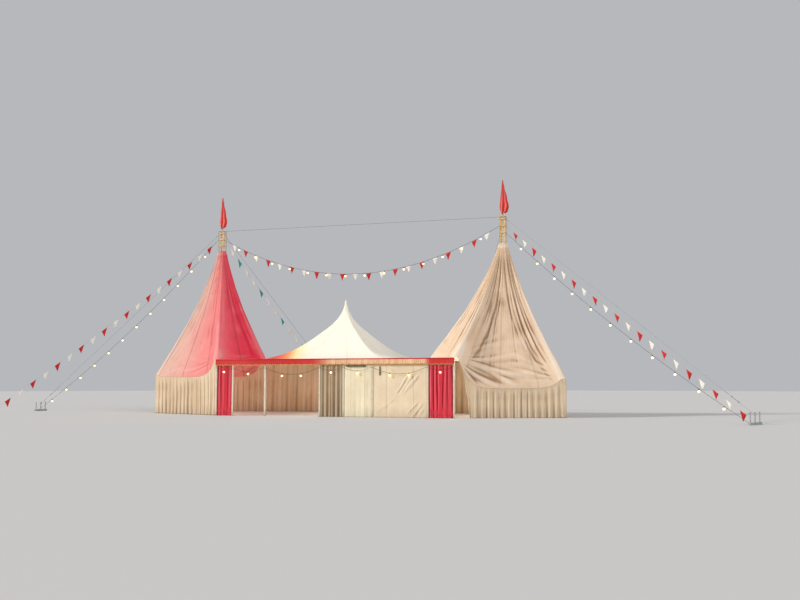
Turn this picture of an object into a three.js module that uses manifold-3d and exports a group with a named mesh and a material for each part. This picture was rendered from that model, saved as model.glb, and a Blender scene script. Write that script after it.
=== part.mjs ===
// A small circus big top: two canvas peaks hoisted on lattice masts, a pagoda roof between them,
// and one long front with a valance, curtains, open bays and festoon lights.
// Millimetres, Z up. X runs along the front, the front faces -Y, and the ground is z = 0.
import * as THREE from "three";
import { mergeVertices } from "three/addons/utils/BufferGeometryUtils.js";
import Module from "manifold-3d";

const wasm = await Module();
wasm.setup();

// Driving sizes of the masts.
const mastSpan = 14200;
const mastHeight = 9000;
const mastWidth = 260;
const chordRadius = 22;
const braceRadius = 9;
const mastBays = 9;
const mastPlate = 20;
const basePlateWidth = 600;
const headPlateWidth = 340;
const collarWidth = 276;
const guyCollar = 8880;
const buntingCollar = 8560;
const festoonCollar = 8260;
const staffHeight = 1700;
const staffRadius = 20;
const pennantDrop = 60;
const ropeInset = 20;

// Driving sizes of the hoisted peaks. Plan places are measured outwards from the mast.
const rightApex = 7650;
const leftApex = 7850;
const ringInner = 190;
const ringOuter = 225;
const ringDepth = 25;
const eaveHeight = 2550;
const rightOuterHem = 1670;
const leftOuterHem = 1850;
const rightHemLow = 1270;
const leftHemLow = 1780;
const outerHemDip = 150;
const hemLift = 12;
const peakFall = 1.25;
const peakRows = 6;
const canvasThickness = 20;
const cornerFlat = 0.04;
const flapFront = 6;
const flapDepth = 52;
const innerCornerX = -3100;
const innerCornerY = 1300;
const frontCornerX = -1500;
const backCornerX = -850;
const outerCornerX = 2900;
const outerBackX = 2600;
const outerCornerY = 1200;
const postRadius = 30;
const postFootWidth = 80;

// Driving sizes of the middle: the front and back lines, the pagoda and the link roofs.
const frontDepth = 3150;
const railWidth = 60;
const footWidth = 160;
const footDepth = 10;
const valanceDrop = 300;
const clothThickness = 12;
const curtainThickness = 26;
const pagodaX = -500;
const pagodaApex = 5250;
const pagodaEave = 2500;
const pagodaThickness = 18;
const pagodaCurve = 1.655;
const pagodaFlare = 645;
const flarePower = 14;
const pagodaRows = 9;
const pagodaColumns = 24;
const kingPostRadius = 30;
const kingPostTop = 5360;
const kingPostTail = 120;
const finialRadius = 50;
const tieRadius = 8;
const hookReach = 70;
const hookHeight = 2190;
const hookRadius = 6;
const hookTip = 20;
const tieSize = 10;
const swagDepth = 0.12;
const roofGap = 20;
const roofLap = 30;

// Driving sizes of the lines.
const leftGuyReach = 10500;
const rightGuyReach = 10290;
const rightGuySlant = 5600;
const backGuyIn = 4000;
const backGuyY = 7688;
const frontStakeX = -14000;
const frontStakeY = -7682;
const guyRadius = 8;
const cableRadius = 6;
const twineRadius = 4;
const bulbSpacing = 1000;
const rightBulbSpacing = 1170;
const holderRadius = 18;
const bulbRadius = 47;
const bulbWaist = 98;
const bulbDrop = 146;
const flagSpacing = 650;
const flagWidth = 250;
const flagDrop = 330;
const flagThickness = 5;
const middleSag = 1950;
const rightFestoonSag = 350;
const rightBuntingSag = 80;
const leftFestoonSag = 420;
const leftBuntingSag = 150;
const backBuntingSag = 300;

// How far each line is tied from the middle of a collar's face, and each anchored end from its rope.
const collarTie = 130;
const middleTie = 60;
const leftTie = 100;
const backTie = 90;
const anchorTie = 270;
const blockTie = 24;
const blockRise = 12;
const anchorLength = 900;
const anchorWidth = 90;
const stakeHeight = 450;
const stakeRadius = 24;
const frontStakeWidth = 60;
const ropeBlockWidth = 72;
const ropeBlockBase = 344;
const ropeEnd = 360;
const gap = 0.3;

// The pagoda's eave fits between the front and back rails.
const pagodaHalf = frontDepth - railWidth / 2 - gap;

// Where the posts of the front stand, from left to right, as distances from the middle.
const sidePost = mastSpan / 2 + frontCornerX;
const backSidePost = mastSpan / 2 + backCornerX;
const frontPosts = [-sidePost, -4770, -3160, -510, 610, 1950, 4450, sidePost];
const backPosts = [-backSidePost, -3160, -510, 2400, backSidePost];

// The inner side of a peak runs straight back from its front corner, over a post part of the way.
const innerBackX =
  innerCornerX + ((backCornerX - innerCornerX) * 2 * innerCornerY) / (frontDepth + innerCornerY);

// The doorway at the right peak, as shares of the front side: its flap's top, and where the wall starts.
const flapTop = 0.08;
const rightDoorway = 0.15;

const paint = (colour, roughness, metalness = 0) =>
  new THREE.MeshStandardMaterial({ color: colour, roughness, metalness });
const canvas = paint(0xe9dfc6, 0.85);
const redCanvas = paint(0xc8503a, 0.85);
const redVelvet = paint(0x9c1f16, 0.7);
const brownCanvas = paint(0x5a4030, 0.85);
const goldSteel = paint(0xb88a3a, 0.45, 0.6);
const galvanised = paint(0x9a9c9c, 0.5, 0.8);
const whiteSteel = paint(0xd8d4c8, 0.5, 0.2);
const blackRubber = paint(0x1c1a18, 0.7);
const bulbGlass = paint(0xffe2a0, 0.2);

const point = (x, y, z) => new THREE.Vector3(x, y, z);
const up = point(0, 0, 1);

// Only the places of the corners are kept, with shared corners merged.
function bare(geometry) {
  geometry.deleteAttribute("normal");
  geometry.deleteAttribute("uv");
  return mergeVertices(geometry, 1e-3);
}

function solidOf(geometry) {
  const merged = bare(geometry);
  const vertProperties = merged.attributes.position.array;
  const triVerts = new Uint32Array(merged.index.array);
  return new wasm.Manifold(new wasm.Mesh({ numProp: 3, vertProperties, triVerts }));
}

function geometryOf(solid) {
  const { vertProperties, triVerts } = solid.getMesh();
  return new THREE.BufferGeometry()
    .setAttribute("position", new THREE.BufferAttribute(vertProperties, 3))
    .setIndex(new THREE.BufferAttribute(triVerts, 1));
}

function fused(geometries) {
  return geometryOf(geometries.map(solidOf).reduce((whole, piece) => whole.add(piece)));
}

function named(name, geometry, material) {
  const mesh = new THREE.Mesh(geometry, material);
  mesh.name = name;
  return mesh;
}

// A box by its size and the middle of its underside.
function block(width, depth, height, x, y, z) {
  return new THREE.BoxGeometry(width, depth, height).translate(x, y, z + height / 2);
}

// A straight round bar between two points.
function bar(from, to, radius, sides = 8) {
  const along = to.clone().sub(from);
  const turn = new THREE.Quaternion().setFromUnitVectors(point(0, 1, 0), along.clone().normalize());
  return new THREE.CylinderGeometry(radius, radius, along.length(), sides)
    .applyQuaternion(turn)
    .translate(...from.clone().add(to).multiplyScalar(0.5).toArray());
}

function upright(x, y, z, height, radius, sides = 12) {
  return bar(point(x, y, z), point(x, y, z + height), radius, sides);
}

// The volume inside a closed geometry, negative where its faces point inwards.
function signedVolume(points, faces) {
  let sum = 0;
  for (let i = 0; i < faces.length; i += 3) {
    const [a, b, c] = [points[faces[i]], points[faces[i + 1]], points[faces[i + 2]]];
    sum += a.dot(b.clone().cross(c));
  }
  return sum / 6;
}

// One closed canvas solid between two grids of points, each a list of rows from the top to the hem.
function canvasSolid(outside, inside, wraps) {
  const rows = outside.length;
  const columns = outside[0].length;
  const points = [...outside.flat(), ...inside.flat()];
  const at = (side, row, column) => (side * rows + row) * columns + (column % columns);
  const faces = [];
  const quad = (a, b, c, d) => faces.push(a, b, c, a, c, d);
  const lastColumn = wraps ? columns : columns - 1;
  const hem = rows - 1;
  for (let c = 0; c < lastColumn; c++) {
    for (let r = 0; r < hem; r++) {
      quad(at(0, r, c), at(0, r + 1, c), at(0, r + 1, c + 1), at(0, r, c + 1));
      quad(at(1, r, c), at(1, r, c + 1), at(1, r + 1, c + 1), at(1, r + 1, c));
    }
    quad(at(0, 0, c), at(0, 0, c + 1), at(1, 0, c + 1), at(1, 0, c));
    quad(at(0, hem, c + 1), at(0, hem, c), at(1, hem, c), at(1, hem, c + 1));
  }
  for (let r = 0; r < hem && !wraps; r++) {
    quad(at(0, r, 0), at(1, r, 0), at(1, r + 1, 0), at(0, r + 1, 0));
    quad(at(0, r, lastColumn), at(0, r + 1, lastColumn), at(1, r + 1, lastColumn), at(1, r, lastColumn));
  }
  if (signedVolume(points, faces) < 0) faces.reverse();
  const places = new Float32Array(points.flatMap((p) => p.toArray()));
  return new THREE.BufferGeometry()
    .setAttribute("position", new THREE.BufferAttribute(places, 3))
    .setIndex(faces);
}

// A line that hangs between two points, lowest near its middle.
class HangingLine extends THREE.Curve {
  constructor(from, to, sag) {
    super();
    this.from = from;
    this.to = to;
    this.sag = sag;
  }
  getPoint(t, target = new THREE.Vector3()) {
    return target.copy(this.from).lerp(this.to, t).addScaledVector(up, -4 * this.sag * t * (1 - t));
  }
}

// A tube along a curve, closed at both ends.
function tubeAlong(curve, radius, steps, sides = 8) {
  const section = new THREE.Shape();
  for (let i = 0; i < sides; i++) {
    const angle = (2 * Math.PI * i) / sides;
    section[i ? "lineTo" : "moveTo"](radius * Math.cos(angle), radius * Math.sin(angle));
  }
  return new THREE.ExtrudeGeometry(section, { steps, bevelEnabled: false, extrudePath: curve });
}

// Moves the end of a line back along it until its end face just clears a flat face.
function seated(place, faceNormal, along, radius) {
  const square = along.dot(faceNormal);
  const back = (gap + radius * Math.sqrt(1 - square * square)) / square;
  return place.clone().addScaledVector(along, back);
}

// A hanging line whose two ends meet flat faces.
function seatedLine(from, fromNormal, to, toNormal, sag, radius) {
  const whole = new HangingLine(from, to, sag);
  const leave = whole.getTangent(0);
  const arrive = whole.getTangent(1).negate();
  return new HangingLine(
    seated(from, fromNormal, leave, radius),
    seated(to, toNormal, arrive, radius),
    sag,
  );
}

// A lamp holder and its bulb, hanging under the point of a cable.
function bulbAt(place) {
  const profile = [
    [0, -cableRadius / 2],
    [holderRadius, -cableRadius],
    [bulbRadius, -bulbWaist],
    [0, -bulbDrop],
  ].map(([r, z]) => new THREE.Vector2(r, z));
  return new THREE.LatheGeometry(profile.reverse(), 6)
    .rotateX(Math.PI / 2)
    .translate(...place.toArray());
}

// A cable and its bulbs, one at each step of the cable's tube.
function bulbsAlong(curve, spacing = bulbSpacing) {
  const steps = Math.max(Math.round(curve.getLength() / spacing), 2);
  const bulbs = [];
  for (let i = 1; i < steps; i++) bulbs.push(bulbAt(curve.getPointAt(i / steps)));
  return [tubeAlong(curve, cableRadius, steps), ...bulbs];
}

// A thin triangular flag hanging under a line, in the line's own upright plane.
function flagAt(place, along) {
  const top = -twineRadius / 2;
  const shape = new THREE.Shape()
    .moveTo(-flagWidth / 2, top)
    .lineTo(0, -flagDrop)
    .lineTo(flagWidth / 2, top);
  const level = Math.hypot(along.x, along.y);
  const heading = Math.atan2(along.y, along.x);
  return new THREE.ExtrudeGeometry(shape, { depth: flagThickness, bevelEnabled: false })
    .translate(0, 0, -flagThickness / 2)
    .rotateX(Math.PI / 2)
    .applyMatrix4(new THREE.Matrix4().set(1, 0, 0, 0, 0, 1, 0, 0, along.z / level, 0, 1, 0, 0, 0, 0, 1))
    .rotateZ(heading)
    .translate(...place.toArray());
}

function flagsAlong(curve) {
  const gaps = Math.round(curve.getLength() / flagSpacing);
  const flags = [];
  for (let i = 1; i < gaps; i++) flags.push(flagAt(curve.getPointAt(i / gaps), curve.getTangentAt(i / gaps)));
  return flags;
}

// A twine with a flag at each step of its tube.
function flagString(curve) {
  const flags = flagsAlong(curve);
  return fused([tubeAlong(curve, twineRadius, flags.length + 1), ...flags]);
}

// A square lattice mast with its plates and the collars that the lines are tied to.
function kingMast() {
  const half = mastWidth / 2 - chordRadius;
  const corners = [
    [-half, -half],
    [half, -half],
    [half, half],
    [-half, half],
  ];
  const bayHeight = (mastHeight - 2 * mastPlate) / mastBays;
  const pieces = [
    block(basePlateWidth, basePlateWidth, mastPlate, 0, 0, 0),
    block(headPlateWidth, headPlateWidth, mastPlate, 0, 0, mastHeight - mastPlate),
  ];
  for (const collar of [guyCollar, buntingCollar, festoonCollar]) {
    pieces.push(block(collarWidth, collarWidth, mastPlate, 0, 0, collar - mastPlate / 2));
  }
  corners.forEach(([x, y], i) => {
    pieces.push(upright(x, y, mastPlate / 2, mastHeight - mastPlate, chordRadius, 6));
    const [nextX, nextY] = corners[(i + 1) % corners.length];
    for (let bay = 0; bay < mastBays; bay++) {
      const low = mastPlate + bay * bayHeight;
      const [a, b] = bay % 2 ? [low + bayHeight, low] : [low, low + bayHeight];
      pieces.push(bar(point(x, y, a), point(nextX, nextY, b), braceRadius, 3));
    }
  });
  return fused(pieces);
}

// The steel ring that lifts the canvas, with the two wire ropes that hoist it to the head plate.
function hoistRing(apex) {
  const profile = [
    [ringInner, 0],
    [ringOuter, 0],
    [ringOuter, ringDepth],
    [ringInner, ringDepth],
    [ringInner, 0],
  ].map(([r, z]) => new THREE.Vector2(r, z));
  const ring = new THREE.LatheGeometry(profile, 24).rotateX(Math.PI / 2).translate(0, 0, apex);
  const low = (ringInner + ringOuter) / 2 / Math.SQRT2;
  const high = headPlateWidth / 2 - ropeInset;
  const top = mastHeight - mastPlate - 2 * gap;
  const ropes = [-1, 1].map((side) =>
    bar(
      point(side * low, side * low, apex + ringDepth / 2),
      point(side * high, side * high, top),
      tieRadius,
    ),
  );
  return fused([ring, ...ropes]);
}

// How a hem falls between two posts: it drops quickly from each post and hangs nearly level between.
function hemHeight(from, to, low, t) {
  const free = Math.min(Math.max((t - cornerFlat) / (1 - 2 * cornerFlat), 0), 1);
  return low + (from - low) * (1 - free) ** hemLift + (to - low) * free ** hemLift;
}

const hemStops = [cornerFlat, flapTop, rightDoorway, 0.3, 0.5, 0.7, 0.85, 1 - cornerFlat];
const innerHem = eaveHeight + clothThickness + 2 * gap;

// The six sides of a peak's hem, each from one post to the next.
function peakSides(side, outerHem) {
  const post = (x, y, z) => point(side * x, y, z);
  const posts = [
    post(frontCornerX, -frontDepth, innerHem),
    post(outerCornerX, -outerCornerY, outerHem),
    post(outerBackX, outerCornerY, outerHem),
    post(backCornerX, frontDepth, innerHem),
    post(innerBackX, innerCornerY, innerHem),
    post(innerCornerX, -innerCornerY, innerHem),
  ];
  const hemLow = side < 0 ? leftHemLow : rightHemLow;
  const lows = [hemLow, outerHem - outerHemDip, hemLow, innerHem, innerHem, innerHem];
  return posts.map((from, i) => ({ from, to: posts[(i + 1) % posts.length], low: lows[i] }));
}

function hemPoint({ from, to, low }, t) {
  const place = from.clone().lerp(to, t);
  place.z = hemHeight(from.z, to.z, low, t);
  return place;
}

// A point moved level towards the mast.
function inwards(place, distance) {
  const reach = Math.hypot(place.x, place.y);
  return point(place.x * (1 - distance / reach), place.y * (1 - distance / reach), place.z);
}

// A point moved level and square to a side of the hem, towards the mast's side of it.
function squareIn({ from, to }, place, distance) {
  const square = point(to.y - from.y, from.x - to.x, 0).normalize();
  if (square.dot(from) > 0) square.negate();
  return place.clone().addScaledVector(square, distance);
}

function peakCanopy(side, apex, outerHem) {
  const edges = peakSides(side, outerHem);
  const hem = edges.flatMap((edge) => hemStops.map((t) => hemPoint(edge, t)));
  const rim = edges.flatMap((edge) => hemStops.map((t) => squareIn(edge, hemPoint(edge, t), canvasThickness)));
  const outside = [];
  for (let row = 0; row <= peakRows; row++) {
    const fall = row / peakRows;
    outside.push(
      hem.map((low) => {
        const reach = Math.hypot(low.x, low.y);
        const radius = ringOuter + (reach - ringOuter) * fall ** peakFall;
        const height = apex - gap + (low.z - apex + gap) * fall;
        return point((low.x * radius) / reach, (low.y * radius) / reach, height);
      }),
    );
  }
  const inside = outside.slice(0, -1).map((line) => line.map((p) => inwards(p, canvasThickness)));
  return canvasSolid(outside, [...inside, rim], true);
}

// A wall that hangs from the hem to the ground along one side of a peak.
function peakWall(edge, firstStop = 0) {
  const tops = hemStops.slice(firstStop).map((t) => hemPoint(edge, t));
  const wall = (distance) =>
    [1, 0].map((isTop) =>
      tops.map((top) => {
        const place = squareIn(edge, top, distance);
        return place.setZ(isTop ? top.z - gap : 0);
      }),
    );
  const spare = (canvasThickness - clothThickness) / 2;
  return canvasSolid(wall(spare), wall(spare + clothThickness), false);
}

// The edge of the doorway's wall, drawn aside: wide under the hem and gathered in towards its foot.
function doorFlap(edge) {
  const [far, near] = [hemPoint(edge, flapTop), hemPoint(edge, rightDoorway)];
  const along = near.clone().sub(far).setZ(0);
  const width = along.length();
  along.normalize();
  const away = point(along.y, -along.x, 0);
  const rows = [
    [1, 1],
    [0.75, 0.72],
    [0.4, 0.36],
    [0, 0.12],
  ];
  const line = (shift) =>
    rows.map(([height, share]) =>
      [
        [share * width, far.z],
        [gap, near.z],
      ].map(([back, top]) =>
        near.clone()
          .addScaledVector(along, -back)
          .addScaledVector(away, shift)
          .setZ((top - gap) * height),
      ),
    );
  return canvasSolid(line(flapFront), line(flapFront - flapDepth), false);
}

// A post under the level corner between two sides of the hem.
function cornerPost(before, after) {
  const corner = hemPoint(before, 1 - cornerFlat).lerp(hemPoint(after, cornerFlat), 0.5);
  const place = inwards(corner, canvasThickness / 2);
  return fused([
    block(postFootWidth, postFootWidth, footDepth, place.x, place.y, 0),
    upright(place.x, place.y, footDepth / 2, corner.z - gap - footDepth / 2, postRadius),
  ]);
}

// Two posts and a beam under the peak's slanting inner side, where it joins the link roof.
function innerFrame(label, side) {
  const front = point(side * innerCornerX, -innerCornerY, 0);
  const back = point(side * innerBackX, innerCornerY, 0);
  const length = front.distanceTo(back);
  const pieces = [block(railWidth, length + railWidth, railWidth, 0, 0, eaveHeight - railWidth)];
  for (const y of [-length / 2, length / 2]) {
    pieces.push(block(railWidth, railWidth, eaveHeight - 1, 0, y, 0));
    pieces.push(block(footWidth, railWidth, footDepth, 0, y, 0));
  }
  const frame = named(`${label}_inner_frame`, fused(pieces), whiteSteel);
  frame.position.copy(front).lerp(back, 0.5);
  frame.rotation.z = Math.atan2(front.x - back.x, back.y - front.y);
  return frame;
}

// A limp pennant that hangs down beside its staff and widens to the fly.
function pennant() {
  const top = mastHeight + staffHeight - pennantDrop;
  const rows = [
    [top, 50, 14],
    [top - 500, 130, 30],
    [top - 1100, 300, 50],
    [top - 1400, 330, 60],
    [top - 1540, 170, 30],
  ];
  const side = (sign) =>
    rows.map(([z, width, depth]) =>
      [staffRadius + gap, staffRadius + width].map((x) => point(x, (sign * depth) / 2, z)),
    );
  return canvasSolid(side(-1), side(1), false);
}

function peakTent(label, side, apex, outerHem) {
  const group = new THREE.Group();
  group.position.set((side * mastSpan) / 2, 0, 0);
  const [front, outer, back] = peakSides(side, outerHem);
  const staff = named(`${label}_flagstaff`, upright(0, 0, 0, staffHeight, staffRadius), whiteSteel);
  staff.position.z = mastHeight + gap;
  group.add(
    named(`${label}_king_mast`, kingMast(), goldSteel),
    staff,
    named(`${label}_pennant`, pennant(), redCanvas),
    named(`${label}_hoist_ring`, hoistRing(apex), galvanised),
    named(`${label}_peak_canopy`, peakCanopy(side, apex, outerHem), side < 0 ? redCanvas : canvas),
    named(`${label}_outer_front_post`, cornerPost(front, outer), whiteSteel),
    named(`${label}_outer_back_post`, cornerPost(outer, back), whiteSteel),
    innerFrame(label, side),
    named(`${label}_front_wall`, peakWall(front, side > 0 ? hemStops.indexOf(rightDoorway) : 0), canvas),
    named(`${label}_outer_wall`, peakWall(outer), canvas),
    named(`${label}_back_wall`, peakWall(back), canvas),
  );
  if (side > 0) group.add(named(`${label}_door_flap`, doorFlap(front), canvas));
  return group;
}

// A row of posts under one rail, in the local plane y = 0.
function postRow(posts, hooks) {
  const length = posts.at(-1) - posts[0] + railWidth;
  const middle = (posts.at(-1) + posts[0]) / 2;
  const pieces = [block(length, railWidth, railWidth, middle, 0, eaveHeight - railWidth)];
  for (const x of posts) {
    pieces.push(block(railWidth, railWidth, eaveHeight - 1, x, 0, 0));
    pieces.push(block(railWidth, footWidth, footDepth, x, 0, 0));
    if (hooks) {
      const tip = point(x, -hookReach - railWidth / 2, hookHeight);
      pieces.push(bar(point(x, 0, hookHeight), tip, hookRadius));
    }
  }
  return fused(pieces);
}

// A hung panel between two posts, under the rail, standing on the ground.
function bayPanel(posts, bay, thickness) {
  const [from, to] = [posts[bay] + railWidth / 2 + gap, posts[bay + 1] - railWidth / 2 - gap];
  return block(to - from, thickness, eaveHeight - railWidth - gap, (from + to) / 2, 0, 0);
}

function valance(posts) {
  const length = posts.at(-1) - posts[0] + railWidth;
  const y = -(railWidth + clothThickness) / 2 - gap;
  return block(length, clothThickness, valanceDrop, 0, y, eaveHeight - valanceDrop);
}

function frontLine() {
  const group = new THREE.Group();
  group.position.y = -frontDepth;
  group.add(
    named("front_frame", postRow(frontPosts, true), whiteSteel),
    named("front_valance", valance(frontPosts), redCanvas),
    named("left_curtain", bayPanel(frontPosts, 0, curtainThickness), redVelvet),
    named("front_brown_wall", bayPanel(frontPosts, 3, clothThickness), brownCanvas),
    named("front_ivory_wall", bayPanel(frontPosts, 4, clothThickness), canvas),
    named("front_tan_wall", bayPanel(frontPosts, 5, clothThickness), canvas),
    named("right_curtain", bayPanel(frontPosts, 6, curtainThickness), redVelvet),
  );
  return group;
}

function backLine() {
  const group = new THREE.Group();
  group.position.y = frontDepth;
  group.rotation.z = Math.PI;
  const posts = backPosts.map((x) => -x).reverse();
  group.add(
    named("back_frame", postRow(posts, false), whiteSteel),
    named("back_valance", valance(posts), redCanvas),
    named("back_right_wall", bayPanel(posts, 0, clothThickness), canvas),
    named("back_middle_wall", bayPanel(posts, 1, clothThickness), canvas),
    named("back_left_wall", bayPanel(posts, 3, clothThickness), canvas),
  );
  return group;
}

// The pagoda roof: round at its tip, square at its eaves, falling in a hollow curve that flares out.
function pagodaRoof() {
  const columns = pagodaColumns;
  const start = kingPostRadius + gap;
  const outside = [];
  for (let row = 0; row <= pagodaRows; row++) {
    const fall = row / pagodaRows;
    const slope = (pagodaHalf - start - pagodaFlare) * fall ** pagodaCurve;
    const reach = start + slope + pagodaFlare * fall ** flarePower;
    const height = pagodaApex + (pagodaEave - pagodaApex) * fall;
    const line = [];
    for (let i = 0; i < columns; i++) {
      const angle = (2 * Math.PI * i) / columns;
      const toSquare = 1 / Math.max(Math.abs(Math.cos(angle)), Math.abs(Math.sin(angle)));
      const radius = reach * (1 + (toSquare - 1) * Math.min(1, 2 * fall));
      line.push(point(radius * Math.cos(angle), radius * Math.sin(angle), height));
    }
    outside.push(line);
  }
  const inside = outside.map((line) => line.map((p) => p.clone().addScaledVector(up, -pagodaThickness)));
  return canvasSolid(outside, inside, true);
}

// Eave beams bolted between the rails, with crossed ties that carry the king post.
function pagodaFrame() {
  const top = pagodaEave - pagodaThickness - gap;
  const half = pagodaHalf - railWidth / 2;
  const tieHeight = top - railWidth / 2;
  const tail = tieHeight - kingPostTail;
  const pieces = [
    upright(0, 0, tail, kingPostTop - tail, kingPostRadius, pagodaColumns),
    new THREE.SphereGeometry(finialRadius, 10, 6).rotateX(Math.PI / 2).translate(0, 0, kingPostTop),
  ];
  for (const side of [-1, 1]) {
    pieces.push(block(2 * pagodaHalf, railWidth, railWidth, 0, side * half, top - railWidth));
    pieces.push(block(railWidth, 2 * half, railWidth, side * half, 0, top - railWidth));
    pieces.push(bar(point(-half, -side * half, tieHeight), point(half, side * half, tieHeight), tieRadius));
  }
  return fused(pieces);
}

function pagoda() {
  const group = new THREE.Group();
  group.position.x = pagodaX;
  group.add(named("centre_roof", pagodaRoof(), canvas), named("centre_frame", pagodaFrame(), whiteSteel));
  return group;
}

// The low roof that links the pagoda's eave to a peak, lying on the rails and the inner frame.
function linkRoof(side) {
  const start = side * pagodaX + pagodaHalf + roofGap;
  const outline = [
    [start, frontDepth],
    [backSidePost + roofLap, frontDepth],
    [mastSpan / 2 + innerCornerX + roofLap, -innerCornerY],
    [sidePost + roofLap, -frontDepth],
    [start, -frontDepth],
  ];
  const shape = new THREE.Shape(outline.map(([x, y]) => new THREE.Vector2(side * x, y)));
  return new THREE.ExtrudeGeometry(shape, { depth: clothThickness, bevelEnabled: false });
}

// A guy rope from a mast collar to its stakes in the ground.
function guyToStake(from, to) {
  return [
    bar(from, point(to.x, to.y, ropeEnd), guyRadius),
    block(ropeBlockWidth, ropeBlockWidth, ropeBlockWidth, to.x, to.y, ropeBlockBase),
    upright(to.x, to.y, 0, stakeHeight, stakeRadius, 8),
  ];
}

// A ground beam pinned by three stakes, square to the local X axis, with a block that holds a rope.
function groundAnchor() {
  const beam = block(anchorWidth, anchorLength, anchorWidth, 0, 0, 0);
  const stakes = [-0.4, 0, 0.4].map((part) =>
    upright(0, part * anchorLength, anchorWidth / 2, stakeHeight - anchorWidth / 2, stakeRadius, 8),
  );
  const ropeBlock = block(ropeBlockWidth, ropeBlockWidth, ropeBlockWidth, 0, 0, ropeBlockBase);
  return [beam, ropeBlock, ...stakes];
}

const sideGuys = {
  left: { side: -1, foot: point(-mastSpan / 2 - leftGuyReach, 0, 0) },
  right: { side: 1, foot: point(mastSpan / 2 + rightGuyReach, -rightGuySlant, 0) },
};

// A guy rope from a mast collar to its ground beam, whose X axis points away from the mast.
function sideGuy(label) {
  const { side, foot } = sideGuys[label];
  const mastX = (side * mastSpan) / 2;
  const heading = Math.atan2(foot.y, foot.x - mastX);
  const start = point(mastX + (side * collarWidth) / 2, 0, guyCollar);
  const end = point(foot.x, foot.y, ropeEnd);
  const along = end.clone().sub(start).normalize();
  const from = seated(start, point(side, 0, 0), along, guyRadius).sub(foot).applyAxisAngle(up, -heading);
  const rope = bar(from, point(0, 0, end.z), guyRadius);
  const guy = named(`${label}_side_guy`, fused([rope, ...groundAnchor()]), galvanised);
  guy.position.copy(foot);
  guy.rotation.z = heading;
  return guy;
}

// A decorated line from a mast collar to the ground beam, beside the guy rope.
function sideLine({ side, foot }, collar, offset, sag, radius) {
  const mast = point((side * mastSpan) / 2, 0, 0);
  const away = foot.clone().sub(mast).setZ(0).normalize();
  const across = point(-away.y, away.x, 0).multiplyScalar(-Math.sign(side));
  const from = point(mast.x + (side * collarWidth) / 2, offset * collarTie, collar);
  const to = foot.clone()
    .addScaledVector(away, -anchorWidth / 2)
    .addScaledVector(across, -offset * anchorTie)
    .setZ(anchorWidth / 2);
  return seatedLine(from, point(side, 0, 0), to, away.clone().negate(), sag, radius);
}

function backGuy(side) {
  const mastX = (side * mastSpan) / 2;
  const to = point(mastX - side * backGuyIn, backGuyY, 0);
  const start = point(mastX, collarWidth / 2, guyCollar);
  const end = point(to.x, to.y, ropeEnd);
  const from = seated(start, point(0, 1, 0), end.clone().sub(start).normalize(), guyRadius);
  return fused(guyToStake(from, to));
}

// The line between the masts, a little to one side of the mast's middle.
function middleLine(offset, sag, radius) {
  const reach = mastSpan / 2 - collarWidth / 2;
  return seatedLine(
    point(-reach, offset, buntingCollar),
    point(1, 0, 0),
    point(reach, offset, buntingCollar),
    point(-1, 0, 0),
    sag,
    radius,
  );
}

// Swags of cable along the front, tied up under each hook.
function frontFestoon() {
  const hooks = frontPosts.map((x) =>
    point(x, hookTip - frontDepth - railWidth / 2 - hookReach, hookHeight - hookRadius - tieSize - gap),
  );
  const pieces = hooks.map((hook) =>
    new THREE.SphereGeometry(tieSize, 6, 4).rotateX(Math.PI / 2).translate(...hook.toArray()),
  );
  for (let bay = 0; bay + 1 < hooks.length; bay++) {
    const sag = swagDepth * hooks[bay].distanceTo(hooks[bay + 1]);
    pieces.push(...bulbsAlong(new HangingLine(hooks[bay], hooks[bay + 1], sag)));
  }
  return fused(pieces);
}

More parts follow.
